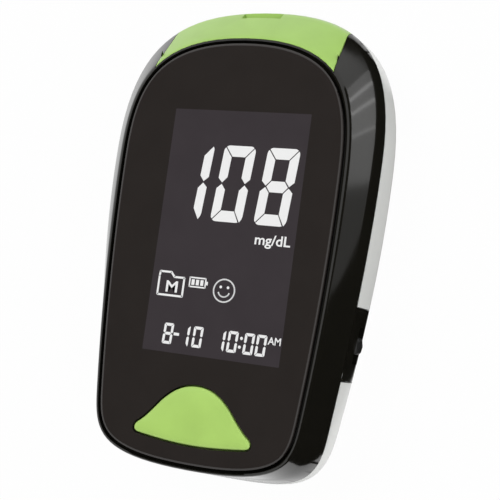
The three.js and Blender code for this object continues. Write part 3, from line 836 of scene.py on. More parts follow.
CHIP = Finish("Chip case", (30, 30, 32), 0.55, grain=0.08 * MM, depth=0.006 * MM)
BRASS = Finish("Brass", (212, 176, 92), 0.28, Texture.BRUSHED, metallic=1)
STEEL = Finish("Plated steel", (196, 198, 201), 0.26, Texture.BRUSHED, metallic=1, grain=0.2 * MM)
CELL_METAL = Finish("Cell can", (200, 201, 204), 0.3, Texture.BRUSHED, metallic=1, grain=0.3 * MM)
CELL_JACKET = Finish("Cell jacket", (52, 62, 84), 0.3, Texture.GLOSS, metallic=0.3, coat=0.6)
CELL_BAND = replace(CELL_JACKET, name="Cell band", colour=(214, 216, 220))


def dressed(piece: Piece, finish: Finish, body: Body, slot: str, *nodes: str) -> None:
    """Gives a piece its finish and its body, and hides the CAD nodes that it stands for.

    Args:
        piece: The finished mesh.
        finish: Its material.
        body: The body it rides on.
        slot: Not used.
        nodes: The CAD nodes it replaces.
    """
    piece.data.materials.clear()
    piece.data.materials.append(finish.material())
    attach(piece, body.value)
    if nodes:
        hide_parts(*nodes)
    LOG.info("%s on %s, %d faces", piece.name, body.value, len(piece.data.polygons))


BODY_SHARES = (
    ((0, 1), (0.7, 1), (1, 0.83), (1, 0.36)),
    ((1, 0.36), (1, -0.1), (0.905, -0.5), (0.834, -0.765)),
    ((0.834, -0.765), (0.772, -0.996), (0.56, -1), (0, -1)),
)
FACE_SHARES = (
    ((0, 1), (0.988, 1), (1, 0.664), (1, 0.364)),
    ((1, 0.364), (1, -0.081), (0.945, -0.484), (0.906, -0.708)),
    ((0.906, -0.708), (0.874, -0.893), (0.835, -1), (0, -1)),
)
KEY_SHARES = (
    ((0, 1), (0.25, 1), (0.42, 0.76), (0.6, 0.37)),
    ((0.6, 0.37), (0.67, 0.19), (0.84, -0.25), (0.95, -0.4)),
    ((0.95, -0.4), (1.03, -0.53), (1.03, -0.71), (0.93, -0.75)),
    ((0.93, -0.75), (0.6, -0.84), (0.3, -0.9), (0, -0.9)),
)


@dataclass(frozen=True)
class CaseForm:
    """The outer form that the mouldings of the case share, and the spaces that pass through them."""

    body: Outline = Outline(BODY_SHARES, *mm(29.3, 48))
    face: Outline = Outline(FACE_SHARES, *mm(23.7, 42.25, -3.4))
    key: Outline = Outline(KEY_SHARES, *mm(12.2, 5.9, -36))
    parting: Arch = Arch(*mm(2, 2.5, 5.2))
    shoulder: Arch = Arch(*mm(0.55, 3.4, 2.1))
    wall: float = 1.9 * MM
    draft: float = 0.3 * MM
    lean: float = 0.95 * MM
    lean_offset: float = 0.4 * MM
    rim_width: float = 0.55 * MM
    rear_top: float = 10.3 * MM
    front_bottom: float = 10.6 * MM
    shoulder_z: float = 14.3 * MM
    shelf_z: float = 17.2 * MM
    lens_bottom: float = 18.2 * MM
    rim_z: float = 19.5 * MM
    height: float = 20 * MM
    floor: float = 2.8 * MM
    round_inset: float = 5.5 * MM
    round_rise: float = 5 * MM
    roof: float = 1.2 * MM
    lip_inset: float = 0.7 * MM
    fit: float = 0.3 * MM
    cap_offset: float = 18.7 * MM
    cap_end_y: float = 36.8 * MM
    cap_reach: float = 9 * MM
    cap_splay: float = 0.12
    cap_lean: float = 0.1
    port_half: float = 4.3 * MM
    port_heights: Point = mm(11.4, 13.2)
    port_depth: float = 7 * MM
    port_flare: float = 0.4 * MM
    side_reach: float = 31 * MM
    screw_places: tuple[Point, ...] = tuple(
        (side * 16.5 * MM, y * MM) for y in (36, -38) for side in (1, -1)
    )

    def front(self, shrink: float = 0, drop: float = 0) -> Piece:
        """The form under the face: a wall that leans in, a crease, and a facet up to the rim.

        Args:
            shrink: How far it is drawn in all round.
            drop: How far its top is lowered.

        Returns:
            The solid.
        """
        wall = self.body.shrunk(self.draft + shrink)
        foot = wall.at(self.front_bottom).arched(self.parting)
        crease = self.leaning(shrink).at(self.shoulder_z - drop).arched(self.shoulder)
        corner = self.face.shrunk(-self.rim_width).at(self.rim_z - drop)
        top = self.face.at(self.rim_z - drop)
        return loft(
            "Front form",
            [
                wall.at(0),
                foot,
                *rounded(foot.towards(crease, 0.8), crease, crease.towards(corner, 0.1)),
                *rounded(crease.towards(corner, 0.87), corner, top),
            ],
        )

    def leaning(self, shrink: float) -> Outline:
        """The outline at the crease, where the leaning wall ends."""
        outline = self.body.shrunk(self.draft + self.lean + shrink)
        return replace(outline, centre_y=self.lean_offset)

    def under(self, height: float, steps: int = 48) -> Piece:
        """The space under a surface that arches as the parting line does.

        Args:
            height: The surface's height before the arch is added.
            steps: Facets along the arch.

        Returns:
            A block as wide as the case, with an arched top.
        """
        reach = self.body.half_length + 2 * OVERRUN
        along = [reach * (2 * i / steps - 1) for i in range(steps + 1)]
        profile = [(y, height + self.parting.rise(y)) for y in along]
        profile += [(reach, -2 * OVERRUN), (-reach, -2 * OVERRUN)]
        half = self.body.half_width + 2 * OVERRUN
        return moved(plate("Under", profile, -half, half), (0, 0, 0), math.tau / 3, Vector((1, 1, 1)))

    def rear(self, top: float, shrink: float = 0, lift: float = 0, steps: int = 12) -> Piece:
        """The form below the parting line: a flat back, a rounded edge and an upright wall.

        Args:
            top: Height of its flat top.
            shrink: How far it is drawn in all round.
            lift: Height of its underside.
            steps: Facets across the rounded edge.

        Returns:
            The solid.
        """
        rings = []
        for i in range(steps + 1):
            turn = math.pi / 2 * i / steps
            inset = shrink + self.round_inset * (1 - math.sin(turn))
            rings.append(
                self.body.shrunk(inset).at(lift + (self.round_rise - lift) * (1 - math.cos(turn)))
            )
        drafted = self.body.shrunk(shrink + self.draft)
        rings += [drafted.at(self.rear_top).arched(self.parting), drafted.at(top)]
        return loft("Rear form", rings)

    def cavity(self) -> Piece:
        """The hollow of the front moulding, up to the shelf under the lens.

        Returns:
            The hollow as a solid.
        """
        crease = self.leaning(self.wall).at(self.shoulder_z - self.roof).arched(self.shoulder)
        foot = self.body.shrunk(self.wall).at(0)
        return loft("Cavity", [foot, crease, self.face.shrunk(self.roof).at(self.shelf_z)])

    def lip_space(self) -> Piece:
        """The rebate inside the lower edge of the front mouldings, for the lip of the rear one."""
        space = prism("Lip space", self.body.shrunk(self.lip_inset), -OVERRUN, self.rim_z)
        return combined(space, Cut.KEEP, self.under(self.rear_top + self.lip_inset))

    def cap_space(self, clearance: float) -> Piece:
        """The wedge that holds the cap, between the two tilted planes that end it.

        Args:
            clearance: How far its sides stand off the cap.

        Returns:
            The wedge.
        """
        near = self.cap_end_y - self.cap_reach
        far = self.body.half_length + OVERRUN
        heights = (-OVERRUN, self.height + OVERRUN)
        wedge = centred("Cap space", OVERRUN, (near, far), heights)
        for y in (near, far):
            for z in heights:
                edge = (
                    self.cap_offset
                    + clearance
                    + (self.cap_end_y - y) * self.cap_splay
                    + (self.rim_z - z) * self.cap_lean
                )
                corner = Vector((0, y, z))
                with editing(wedge) as mesh:
                    chosen(mesh, lambda place: abs((place - corner).yz.length) < 0.01 * MM)
                    bpy.ops.transform.resize(
                        value=(edge / OVERRUN, 1, 1), center_override=(0, 0, 0)
                    )
        return wedge

    def port(self) -> Piece:
        """The mouth of the strip port, with its flared edge outside.

        Returns:
            The mouth as a solid.
        """
        end = self.body.half_length
        low, high = self.port_heights
        passage, flare = (
            centred(name, self.port_half + by, (end - depth, end + OVERRUN), (low - by, high + by))
            for name, by, depth in (
                ("Port", 0, self.port_depth),
                ("Port flare", self.port_flare, self.port_flare),
            )
        )
        return combined(passage, Cut.ADD, flare)

    def from_side(self, name: str, start: float, ends: Point, heights: Point, edge: float) -> Piece:
        """A block with rounded edges that comes in from the right side."""
        low = (start, ends[0], heights[0])
        return bevelled(block(name, low, (self.side_reach, ends[1], heights[1])), edge)


@dataclass
class FrontHousing:
    """The glossy front moulding, the cap over the strip port and the lens over the display."""

    form: CaseForm
    tab_ends: Point = mm(-25.35, -11.05)
    tab_bottom: float = 3.4 * MM
    tab_round: float = 0.8 * MM
    tab_overlap: float = 0.15 * MM
    slot_start: float = 15 * MM
    slot_ends: Point = mm(-21.9, -14.5)
    slot_heights: Point = mm(4.2, 7.6)
    slot_round: float = 0.5 * MM
    cap_thickness: float = 1.1 * MM
    cap_side: float = 1.2 * MM
    cap_gap: float = 0.16 * MM
    cap_edge: float = 0.5 * MM
    seat_edge: float = 0.4 * MM
    boss_radius: float = 2.7 * MM
    boss_overlap: float = 0.5 * MM
    groove: float = 0.55 * MM
    lens_top: float = 19.7 * MM
    lens_round: Point = mm(1, 0.35)
    lens_steps: int = 8
    window_half: float = 14.45 * MM
    window_ends: Point = mm(-24.3, 25.3)
    window_margin: float = 0.8 * MM
    key_gap: float = 0.35 * MM

    def tab(self) -> Piece:
        """The tongue that hangs over the rear moulding, round the ejector's slot.

        Returns:
            The tongue.
        """
        form = self.form
        heights = (self.tab_bottom, form.height)
        span = form.from_side("Tab span", 0, self.tab_ends, heights, self.tab_round)
        tongue = form.rear(form.shelf_z)
        combined(tongue, Cut.KEEP, form.under(form.front_bottom + self.tab_overlap), span)
        slot = form.from_side(
            "Ejector slot", self.slot_start, self.slot_ends, self.slot_heights, self.slot_round
        )
        inside = prism("Tab inside", form.body.shrunk(form.wall), 0, form.height)
        return combined(tongue, Cut.REMOVE, inside, slot)

    def key_hole(self, bottom: float) -> Piece:
        """The opening round the key, from a height up."""
        outline = self.form.key.shrunk(-self.key_gap)
        return prism("Key hole", outline, bottom, self.form.height + OVERRUN)

    def bezel(self) -> Piece:
        """The front moulding.

        Returns:
            The moulding.
        """
        form = self.form
        over = form.height + OVERRUN
        shell = form.front()
        combined(shell, Cut.REMOVE, form.cavity(), form.lip_space(), form.under(form.front_bottom))
        combined(shell, Cut.ADD, self.tab())
        boss_top = form.shelf_z + self.boss_overlap
        for place in form.screw_places:
            boss = rod("Boss", place, form.front_bottom, boss_top, self.boss_radius)
            combined(shell, Cut.ADD, boss)
        around = prism("Around", form.body.shrunk(-OVERRUN), 0, over)
        inner = form.front(self.cap_side + form.fit, self.cap_thickness + form.fit)
        seat = combined(form.cap_space(self.cap_gap), Cut.KEEP, around)
        rim = prism("Rim", form.face.shrunk(-self.seat_edge), 0, over)
        combined(seat, Cut.REMOVE, inner, rim)
        recess = prism("Lens recess", form.face, form.lens_bottom, over)
        margin = self.window_margin
        low, high = self.window_ends
        window = centred(
            "Window",
            self.window_half + margin,
            (low - margin, high + margin),
            (form.shelf_z - OVERRUN, form.height),
        )
        key_hole = self.key_hole(form.shelf_z - OVERRUN)
        combined(shell, Cut.REMOVE, seat, recess, window, key_hole, form.port())
        return smoothed(named(shell, "Bezel"), 28)

    def cap(self) -> Piece:
        """The cap over the strip port.

        Returns:
            The cap.
        """
        form = self.form
        cap = combined(form.front(), Cut.KEEP, form.cap_space(0))
        inner = form.front(self.cap_side, self.cap_thickness)
        face = prism("Face", form.face.shrunk(-self.cap_edge), 0, form.height + OVERRUN)
        combined(cap, Cut.REMOVE, inner, face, form.lip_space())
        combined(cap, Cut.REMOVE, form.under(form.front_bottom), form.port())
        return smoothed(named(cap, "Port_cap"), 28)

    def lens(self) -> Piece:
        """The smoked lens, rounded over at its edge and cut out for the key.

        Returns:
            The lens.
        """
        form = self.form
        edge = form.face.shrunk(self.groove)
        rings = [edge.at(form.lens_bottom)]
        reach, drop = self.lens_round
        for i in range(self.lens_steps + 1):
            turn = math.pi / 2 * i / self.lens_steps
            height = self.lens_top - drop * (1 - math.sin(turn))
            rings.append(edge.shrunk(reach * (1 - math.cos(turn))).at(height))
        lens = loft("Lens", rings, 28)
        return smoothed(combined(lens, Cut.REMOVE, self.key_hole(0)), 20)

    def build(self) -> None:
        """Builds and dresses the three mouldings."""
        dressed(self.bezel(), GLOSS_BLACK, Body.CASE, "gloss_black", "front_bezel")
        dressed(self.cap(), GREEN, Body.CASE, "green", "top_cap")
        dressed(self.lens(), SMOKED, Body.CASE, "smoked_lens", "face_lens")


@dataclass
class RearHousing:
    """The silver rear moulding with its battery compartment, and its door."""

    form: CaseForm
    compartment_half: float = 11.2 * MM
    compartment_ends: Point = mm(-39, 11.6)
    compartment_top: float = 12.5 * MM
    compartment_wall: float = 0.9 * MM
    key_place: Point = mm(7.2, 15.6)
    key_pocket: tuple[Point, Point] = (mm(2.5, 12.5), mm(11.9, 18.7))
    key_pocket_depth: float = 5.6 * MM
    key_bore: float = 2.2 * MM
    lip_inset: float = 1 * MM
    lip_rise: float = 0.4 * MM
    tab_depth: float = 24.4 * MM
    tab_gap: float = 0.2 * MM
    door_half: float = 13 * MM
    door_end: float = 19 * MM
    door_thickness: float = 1.5 * MM
    door_gap: float = 0.25 * MM
    flange: float = 0.7 * MM
    flange_thickness: float = 0.65 * MM
    tongue_half: float = 4 * MM
    tongue_length: float = 1.5 * MM
    grip_count: int = 5
    grip_pitch: float = 2 * MM
    grip_half: float = 6.5 * MM
    grip_depth: float = 0.4 * MM
    grip_round: float = 0.35 * MM
    grip_start: float = -30 * MM
    arrow_tip: float = -34.2 * MM
    arrow_half: float = 2.6 * MM
    arrow_length: float = 2.8 * MM
    arrow_depth: float = 0.25 * MM
    door_edge: float = 0.08 * MM
    boss_radius: float = 3 * MM
    screw_head: float = 1.9 * MM
    screw_seat: float = 3 * MM
    screw_bore: float = 1.15 * MM

    def door_space(self) -> Piece:
        """The recess for the door: a mouth, the grooves for its flanges and a notch for its tongue.

        Returns:
            The recess as a solid.
        """
        fit = self.form.fit
        half = self.door_half + fit
        ends = (-self.form.body.half_length - OVERRUN, self.door_end + fit)
        top = self.door_thickness + self.door_gap
        heights = (self.door_thickness - self.flange_thickness - fit, top)
        mouth = centred("Door mouth", half, ends, (-OVERRUN, top))
        grooves = centred("Door grooves", half + self.flange, ends, heights)
        notch_ends = (self.door_end, self.door_end + self.tongue_length + 2 * fit)
        notch = centred("Door notch", self.tongue_half + fit, notch_ends, heights)
        return combined(mouth, Cut.ADD, grooves, notch)

    def lip(self) -> Piece:
        """The lip that stands up inside the front moulding.

        Returns:
            The lip.
        """
        form = self.form
        outline = form.body.shrunk(self.lip_inset)
        lip = prism("Lip", outline, form.round_rise + OVERRUN, form.shelf_z)
        combined(lip, Cut.REMOVE, prism("Lip inside", form.body.shrunk(form.wall), 0, form.height))
        return combined(lip, Cut.KEEP, form.under(form.rear_top + self.lip_rise))

    def case(self, front: FrontHousing) -> Piece:
        """The rear moulding, with room for the tongue of the front one.

        Args:
            front: The front housing.

        Returns:
            The moulding.
        """
        form = self.form
        shell = form.rear(form.shelf_z)
        combined(shell, Cut.REMOVE, form.rear(form.height, form.wall, form.floor))
        combined(shell, Cut.KEEP, form.under(form.rear_top))
        wall = self.compartment_wall
        inside = form.floor / 2
        half = self.compartment_half
        low, high = self.compartment_ends
        roof = self.compartment_top
        (left, near), (right, far) = self.key_pocket
        depth = self.key_pocket_depth
        box = centred("Compartment box", half + wall, (low - wall, high + wall), (inside, roof + wall))
        key_box = block(
            "Key box", (left - wall, high, inside), (right + wall, self.door_end + wall, depth + wall)
        )
        combined(shell, Cut.ADD, self.lip(), box, key_box)
        for place in form.screw_places:
            boss = rod("Boss", place, inside, form.rear_top, self.boss_radius)
            combined(shell, Cut.ADD, boss)
        compartment = centred("Compartment", half, (low, high), (-OVERRUN, roof))
        pocket = block("Key pocket", (left, near, -OVERRUN), (right, far, depth))
        gap = self.tab_gap
        tab_space = form.from_side(
            "Tab space",
            self.tab_depth,
            (front.tab_ends[0] - gap, front.tab_ends[1] + gap),
            (front.tab_bottom - gap, form.height),
            front.tab_round,
        )
        key_hole = rod("Key hole", self.key_place, 0, form.height, self.key_bore)
        combined(shell, Cut.REMOVE, compartment, pocket, self.door_space(), tab_space, key_hole)
        for place in form.screw_places:
            radius = self.screw_head + form.fit
            sink = rod("Counterbore", place, -OVERRUN, self.screw_seat, radius)
            combined(shell, Cut.REMOVE, sink, rod("Bore", place, 0, form.height, self.screw_bore))
        return smoothed(named(shell, "Back_case"), 30)

    def door(self) -> Piece:
        """The battery door, with its flanges, its tongue, its grips and its arrow.

        Returns:
            The door.
        """
        form = self.form
        ends = (-form.body.half_length, self.door_end)
        top = self.door_thickness
        heights = (top - self.flange_thickness, top)
        panel = centred("Door", self.door_half, ends, (0, top))
        flanges = centred("Door flanges", self.door_half + self.flange, ends, heights)
        combined(panel, Cut.ADD, flanges)
        combined(panel, Cut.KEEP, form.rear(form.shelf_z))
        tongue_ends = (self.door_end - OVERRUN, self.door_end + self.tongue_length)
        combined(panel, Cut.ADD, centred("Tongue", self.tongue_half, tongue_ends, heights))
        depth = self.grip_depth
        span = (self.grip_start, self.grip_start + self.grip_pitch / 2)
        grip = bevelled(centred("Grip", self.grip_half, span, (-depth, depth)), self.grip_round)
        for i in range(self.grip_count):
            row = moved(copied(grip, f"Grip {i}"), (0, i * self.grip_pitch, 0))
            combined(panel, Cut.REMOVE, row)
        bpy.data.objects.remove(grip)
        tip = self.arrow_tip
        foot = tip + self.arrow_length
        points = [(0, tip), (self.arrow_half, foot), (-self.arrow_half, foot)]
        arrow = plate("Arrow", points, -OVERRUN, self.arrow_depth, self.arrow_depth)
        combined(panel, Cut.REMOVE, arrow)
        return smoothed(bevelled(named(panel, "Battery_door_panel"), self.door_edge, 2, 50), 45)

    def build(self, front: FrontHousing) -> None:
        """Builds and dresses the rear moulding and its door."""
        dressed(self.case(front), SILVER, Body.CASE, "silver_grey", "rear_case")
        dressed(self.door(), SILVER, Body.DOOR, "silver_grey", "battery_door")


@dataclass
class Keys:
    """The large green key and the small setting key."""

    form: CaseForm
    set_place: Point
    crown: float = 0.5 * MM
    crown_end: float = 0.04
    crown_steps: tuple[Point, ...] = (
        (0, 0),
        (0.008, 0.2),
        (0.025, 0.38),
        (0.055, 0.55),
        (0.1, 0.69),
        (0.18, 0.81),
        (0.3, 0.9),
        (0.5, 0.97),
        (0.75, 0.995),
        (0.93, 1),
    )
    flange_reach: float = 1 * MM
    flange_heights: Point = mm(16, 16.9)
    set_heights: Point = mm(4.2, 11.8)
    set_radius: float = 1.9 * MM
    set_flange: Point = mm(2.6, 3.4)

    def main_key(self) -> Piece:
        """The green key: crowned, with a flange that holds it under the shelf.

        Returns:
            The key.
        """
        outline = self.form.key
        side = outline.at(sum(self.flange_heights) / 2)
        base = self.form.height - self.crown
        middle = outline.squeezed(self.crown_end).at(base)
        rim = outline.at(base)
        rings = [
            replace(rim.towards(middle, inward), z=base + rise * self.crown)
            for inward, rise in self.crown_steps
        ]
        key = loft("Large_key", [side, *rings], 16)
        flange = prism("Key flange", outline.shrunk(-self.flange_reach), *self.flange_heights, 10)
        return smoothed(combined(key, Cut.ADD, flange), 40)

    def set_key(self) -> Piece:
        """The setting key: a short post with a flange.

        Returns:
            The key.
        """
        bottom, top = self.set_heights
        radius = self.set_radius
        wide = radius + self.flange_reach
        under, over = (bottom + height for height in self.set_flange)
        profile = [
            (0, bottom),
            (radius - 0.3 * MM, bottom),
            (radius - 0.08 * MM, bottom + 0.09 * MM),
            (radius, bottom + 0.3 * MM),
            (radius, under),
            (wide, under),
            (wide, over),
            (radius, over),
            (radius, top),
            (0, top),
        ]
        return smoothed(moved(turned("Setting_key", profile), (*self.set_place, 0)))

    def build(self) -> None:
        """Builds and dresses both keys."""
        dressed(self.main_key(), GREEN_KEY, Body.MAIN_KEY, "green_key", "main_button")
        dressed(self.set_key(), DARK, Body.SET_KEY, "dark_key", "set_button")


@dataclass
class Ejector:
    """The knob of the strip ejector, which shows in the slot of the tongue."""

    heights: Point = mm(4.35, 7.45)
    ends: Point = mm(-19.9, -16.5)
    depth: float = 3 * MM
    rise: float = 0.03 * MM
    edge: float = 0.9 * MM

    def build(self) -> None:
        """Builds and dresses the rounded knob over the slide's own."""
        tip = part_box("ejector_slide")[1].x + self.rise
        low, high = ((x, self.ends[i], self.heights[i]) for i, x in enumerate((tip - self.depth, tip)))
        knob = bevelled(block("Ejector_knob", low, high), self.edge, 6)
        dressed(smoothed(knob, 40), DARK, Body.EJECTOR, "dark_key")


@dataclass
class Screws:
    """Pan-head screws with a cross recess, modelled once and copied."""

    places: tuple[Point, ...]
    seat: float
    head_radius: float
    head_height: float = 1.4 * MM
    shank_radius: float = 0.99 * MM
    length: float = 10.5 * MM
    cross: Point = mm(1.05, 0.2)
    cross_heights: Point = mm(-0.5, 0.9)
    turn: float = 0.4

    def model(self) -> Piece:
        """One screw at the origin, with its head below z = 0.

        Returns:
            The screw.
        """
        head, shank, low = self.head_radius, self.shank_radius, -self.head_height
        profile = [
            (0, low),
            (head * 0.45, low + 0.02 * MM),
            (head * 0.72, low + 0.14 * MM),
            (head * 0.9, low + 0.36 * MM),
            (head, low + 0.7 * MM),
            (head, -0.05 * MM),
            (head - 0.05 * MM, 0),
            (shank, 0),
            (shank, self.length - shank),
            (0, self.length),
        ]
        screw = turned("Screw", profile)
        half, side = self.cross
        bottom, top = self.cross_heights
        cross = centred("Cross", half, (-side, side), (low + bottom, low + top))
        other = moved(copied(cross, "Cross 2"), (0, 0, 0), math.pi / 2)
        return smoothed(combined(screw, Cut.REMOVE, cross, other))

    def build(self) -> None:
        """Copies the screw to its places."""
        model = self.model()
        for i, (x, y) in enumerate(self.places, 1):
            screw = moved(copied(model, f"Screw_{i}"), (x, y, self.seat), self.turn * i)
            dressed(screw, STEEL, Body.CASE, "steel", f"case_screw_{i}")
        bpy.data.objects.remove(model)


@dataclass
class Cell:
    """An AAA cell in the place of its CAD node: a steel can in a two-colour jacket."""

    number: int
    radius: float = 5.25 * MM
    height: float = 7 * MM
    band: float = 11 * MM
    sign_heights: Point = mm(-0.02, 0.2)
    side: float = field(init=False)
    flat: float = field(init=False)
    nub: float = field(init=False)

    def __post_init__(self) -> None:
        """Finds the cell's axis and its ends; the nub of the second points the other way."""
        low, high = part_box(f"battery_{self.number}")
        self.side = (low.x + high.x) / 2
        self.flat, self.nub = (low.y, high.y) if self.number == 1 else (high.y, low.y)

    def profile(self, length: float) -> list[Point]:
        """The cell's outline from its flat end to its nub.

        Args:
            length: The cell's length.

        Returns:
            Points of radius and height.
        """
        r = self.radius
        body = length - 0.9 * MM
        return [
            (0, 0),
            (r - 1.3 * MM, 0),
            (r - 0.9 * MM, 0.12 * MM),
            (r - 0.5 * MM, 0),
            (r - 0.15 * MM, 0.08 * MM),
            (r, 0.3 * MM),
            (r, self.band),
            (r, body - 0.3 * MM),
            (r - 0.15 * MM, body - 0.08 * MM),
            (r - 0.5 * MM, body),
            (r - 0.9 * MM, body - 0.12 * MM),
            (2.1 * MM, body - 0.1 * MM),
            (1.9 * MM, body),
            (1.9 * MM, length - 0.12 * MM),
            (1.78 * MM, length),
            (0, length),
        ]

    def can(self) -> Piece:
        """The cell, its nub towards its node's contact.

        Returns:
            The cell.
        """
        model = turned(f"Cell_{self.number}", self.profile(abs(self.nub - self.flat)), 64)
        moved(model, (0, 0, 0), -math.pi / 2, "X")
        turn = 0 if self.nub > self.flat else math.pi
        return smoothed(moved(model, (self.side, self.flat, self.height), turn), 35)

    def dress(self, can: Piece) -> None:
        """Gives the can, the jacket and its band their finishes.

        Args:
            can: The cell.
        """
        dressed(can, CELL_METAL, Body.CASE, "cell", f"battery_{self.number}")
        can.data.materials.append(CELL_JACKET.material())
        can.data.materials.append(CELL_BAND.material())
        for face in can.data.polygons:
            reach = math.hypot(face.center.x - self.side, face.center.z - self.height)
            if reach > self.radius * 0.97:
                from_flat = abs(face.center.y - self.flat)
                face.material_index = 2 if from_flat < self.band else 1

    def signs(self) -> Piece:
        """The plus and minus signs on a cell, a little proud of its jacket towards the door.

        Returns:
            The signs as one mesh.
        """
        inward = 1 if self.flat > self.nub else -1
        bottom, top = (self.height - self.radius + rise for rise in self.sign_heights)
        bars = []
        for name, half, end, near, far in (
            ("Plus", 1.4, self.nub, 4.7, 5.3),
            ("Plus 2", 0.3, self.nub, 3.6, 6.4),
            ("Minus", 1.4, self.flat, -5.3, -4.7),
        ):
            low = (self.side - half * MM, end + inward * near * MM, bottom)
            high = (self.side + half * MM, end + inward * far * MM, top)
            bars.append(block(name, low, high))
        plus = combined(bars[0], Cut.ADD, bars[1])
        signs = joined([plus, bars[2]], f"Cell_{self.number}_signs")
        with editing(signs):
            face_outwards()
        return signs

    def build(self) -> None:
        """Builds and dresses the cell."""
        self.dress(self.can())
        dressed(self.signs(), CELL_BAND, Body.CASE, "cell")


FIGURE_BARS = {"0": "abcdef", "1": "bc", "8": "abcdefg"}


@dataclass(frozen=True)
class FigureStyle:
    """Size and slant of a row of seven-bar figures.

    bar is the width of the upright bars, across the height of the level ones.
    """

    width: float
    height: float
    bar: float
    across: float
    gap: float
    slant: float
    corner: float


@dataclass
class Display:
    """What shows through the lens: the display's field, the reading, the small figures and signs."""

    lens_top: float
    window_sides: Point = mm(-12.9, 16.1)
    window_ends: Point = mm(-24.3, 24.4)
    window_corner: float = 0.15 * MM
    field_depth: float = 0.1 * MM
    field_rise: float = 0.02 * MM
    print_rise: float = 0.035 * MM
    big: FigureStyle = FigureStyle(*mm(6.7, 15.2, 1.85, 2.2, 0.3), 0.076, 0.95 * MM)
    small: FigureStyle = FigureStyle(*mm(2.05, 4.1, 0.5, 0.56, 0.12), 0.045, 0.25 * MM)
    reading: tuple[float, ...] = mm(-4.3, 4.55, 13.75)
    reading_bottom: float = 2.25 * MM
    row: tuple[float, ...] = mm(-6.8, -3.2, -0.4, 4.4, 7, 10.4, 12.9)
    row_bottom: float = -22.7 * MM
    prints: list[Piece] = field(default_factory=list)

    @property
    def heights(self) -> Point:
        """Heights of the underside and the upper side of a print."""
        return self.lens_top, self.lens_top + self.field_rise + self.print_rise

    def sheet(self, name: str, points: Sequence[Point]) -> None:
        """Adds one printed shape."""
        self.prints.append(plate(name, points, *self.heights))

    def bars(self, style: FigureStyle) -> dict[str, list[Point]]:
        """The outline of each bar of a figure whose lower left corner is the origin.

        Args:
            style: The figure's size and slant.

        Returns:
            The corners of each bar, by the bar's letter.
        """
        w, h, b, t = style.width, style.height, style.bar, style.across
        g, r = style.gap / 2, style.corner
        m = h / 2
        half = b / 2
        k = t / 2
        heel = w - 0.35 * b
        return {
            "a": [
                (0.3 * r + g, h - 0.3 * r), (0.62 * r + g, h - 0.08 * r), (1.1 * r, h), (w - 1.1 * r, h),
                (w - 0.62 * r - g, h - 0.08 * r), (w - 0.3 * r - g, h - 0.3 * r), (w - b - g, h - t),
                (b + g, h - t),
            ],
            "b": [
                (w - 0.3 * r, h - 0.3 * r - g), (w - 0.08 * r, h - 0.62 * r - g), (w, h - 1.2 * r),
                (w, m + 0.8 * k + g), (w - half, m + g), (w - b, m + k + g), (w - b, h - t - g),
            ],
            "c": [
                (w - half, m - g), (w, m - 0.8 * k - g), (w, 1.4 * r), (w - 0.12 * r, 0.8 * r),
                (heel + g, 0.12 * r), (w - b + 0.3 * g, t), (w - b, t + 2 * g), (w - b, m - k - g),
            ],
            "d": [
                (0.3 * r + g, 0.35 * r), (0.62 * r + g, 0.1 * r), (1.3 * r, 0), (heel - g - 0.5 * r, 0),
                (heel - g, 0.1 * r), (w - b - g, t), (b + g, t),
            ],
            "e": [
                (0, 1.2 * r + g), (0.08 * r, 0.65 * r + g), (0.3 * r, 0.35 * r + g), (b, t + g),
                (b, m - k - g), (half, m - g), (0, m - 0.8 * k - g),
            ],
            "f": [
                (0.3 * r, h - 0.3 * r - g), (b, h - t - g), (b, m + k + g), (half, m + g),
                (0, m + 0.8 * k + g), (0, h - 1.2 * r), (0.08 * r, h - 0.62 * r - g),
            ],
            "g": [
                (half + 1.4 * g, m), (b + g, m + k), (w - b - g, m + k), (w - half - 1.4 * g, m),
                (w - b - g, m - k), (b + g, m - k),
            ],
        }

    def figure(self, character: str, style: FigureStyle, right: float, bottom: float) -> None:
        """Adds one figure, given by the place of its lower right corner."""
        for bar in FIGURE_BARS[character]:
            points = [
                (right - style.width + x + y * style.slant, bottom + y)
                for x, y in self.bars(style)[bar]
            ]
            self.sheet(f"Bar {bar}", points)

    def disc(self, x: float, y: float, radius: float) -> None:
        """Adds a printed dot."""
        self.prints.append(rod("Dot", (x, y), *self.heights, radius, 24))

    def band(self, points: Sequence[Point], width: float, closed: bool = False) -> None:
        """Adds a printed line of some width along points.

        Args:
            points: The line's corners, in order.
            width: The line's width.
            closed: Whether it returns to its start.
        """
        count = len(points)
        for i in range(count if closed else count - 1):
            start, end = Vector(points[i]), Vector(points[(i + 1) % count])
            along = (end - start).normalized() * width / 2
            side = Vector((-along.y, along.x))
            near, far = start - along * 0.3, end + along * 0.3
            self.sheet("Line", [near + side, near - side, far - side, far + side])

    def words(self, text: str, place: Point, height: float, width: float) -> None:
        """Adds printed characters."""
        self.prints.append(lettering("Words", text, place, (width, height), self.heights))

    def face_sign(self, x: float, y: float, radius: float) -> None:
        """Adds the small round face.

        Args:
            x: Place of its middle across the case.
            y: Place of its middle along the case.
            radius: The face's radius.
        """
        line = 0.3 * MM
        self.band(arc((x, y), radius, 0, 360, 40)[:-1], line, True)
        for side in (-1, 1):
            self.disc(x + side * radius * 0.35, y + radius * 0.3, 0.28 * MM)
        self.band(arc((x, y), radius * 0.55, 200, 140, 12), line)

    def folder_sign(self) -> None:
        """Adds the folder with a letter that stands for the memory."""
        left, right, top, bottom = mm(-11.3, -5.85, -9.5, -13.2)
        rise = top + 0.9 * MM
        outline = [
            (left, bottom),
            (left, top),
            (left + 0.1 * MM, rise),
            (left + 2.5 * MM, rise),
            (left + 3.3 * MM, top),
            (right, top),
            (right, bottom),
        ]
        self.band(outline, 0.4 * MM, True)
        self.words("M", mm(-9.8, -12.5), 2.2 * MM, 2.5 * MM)

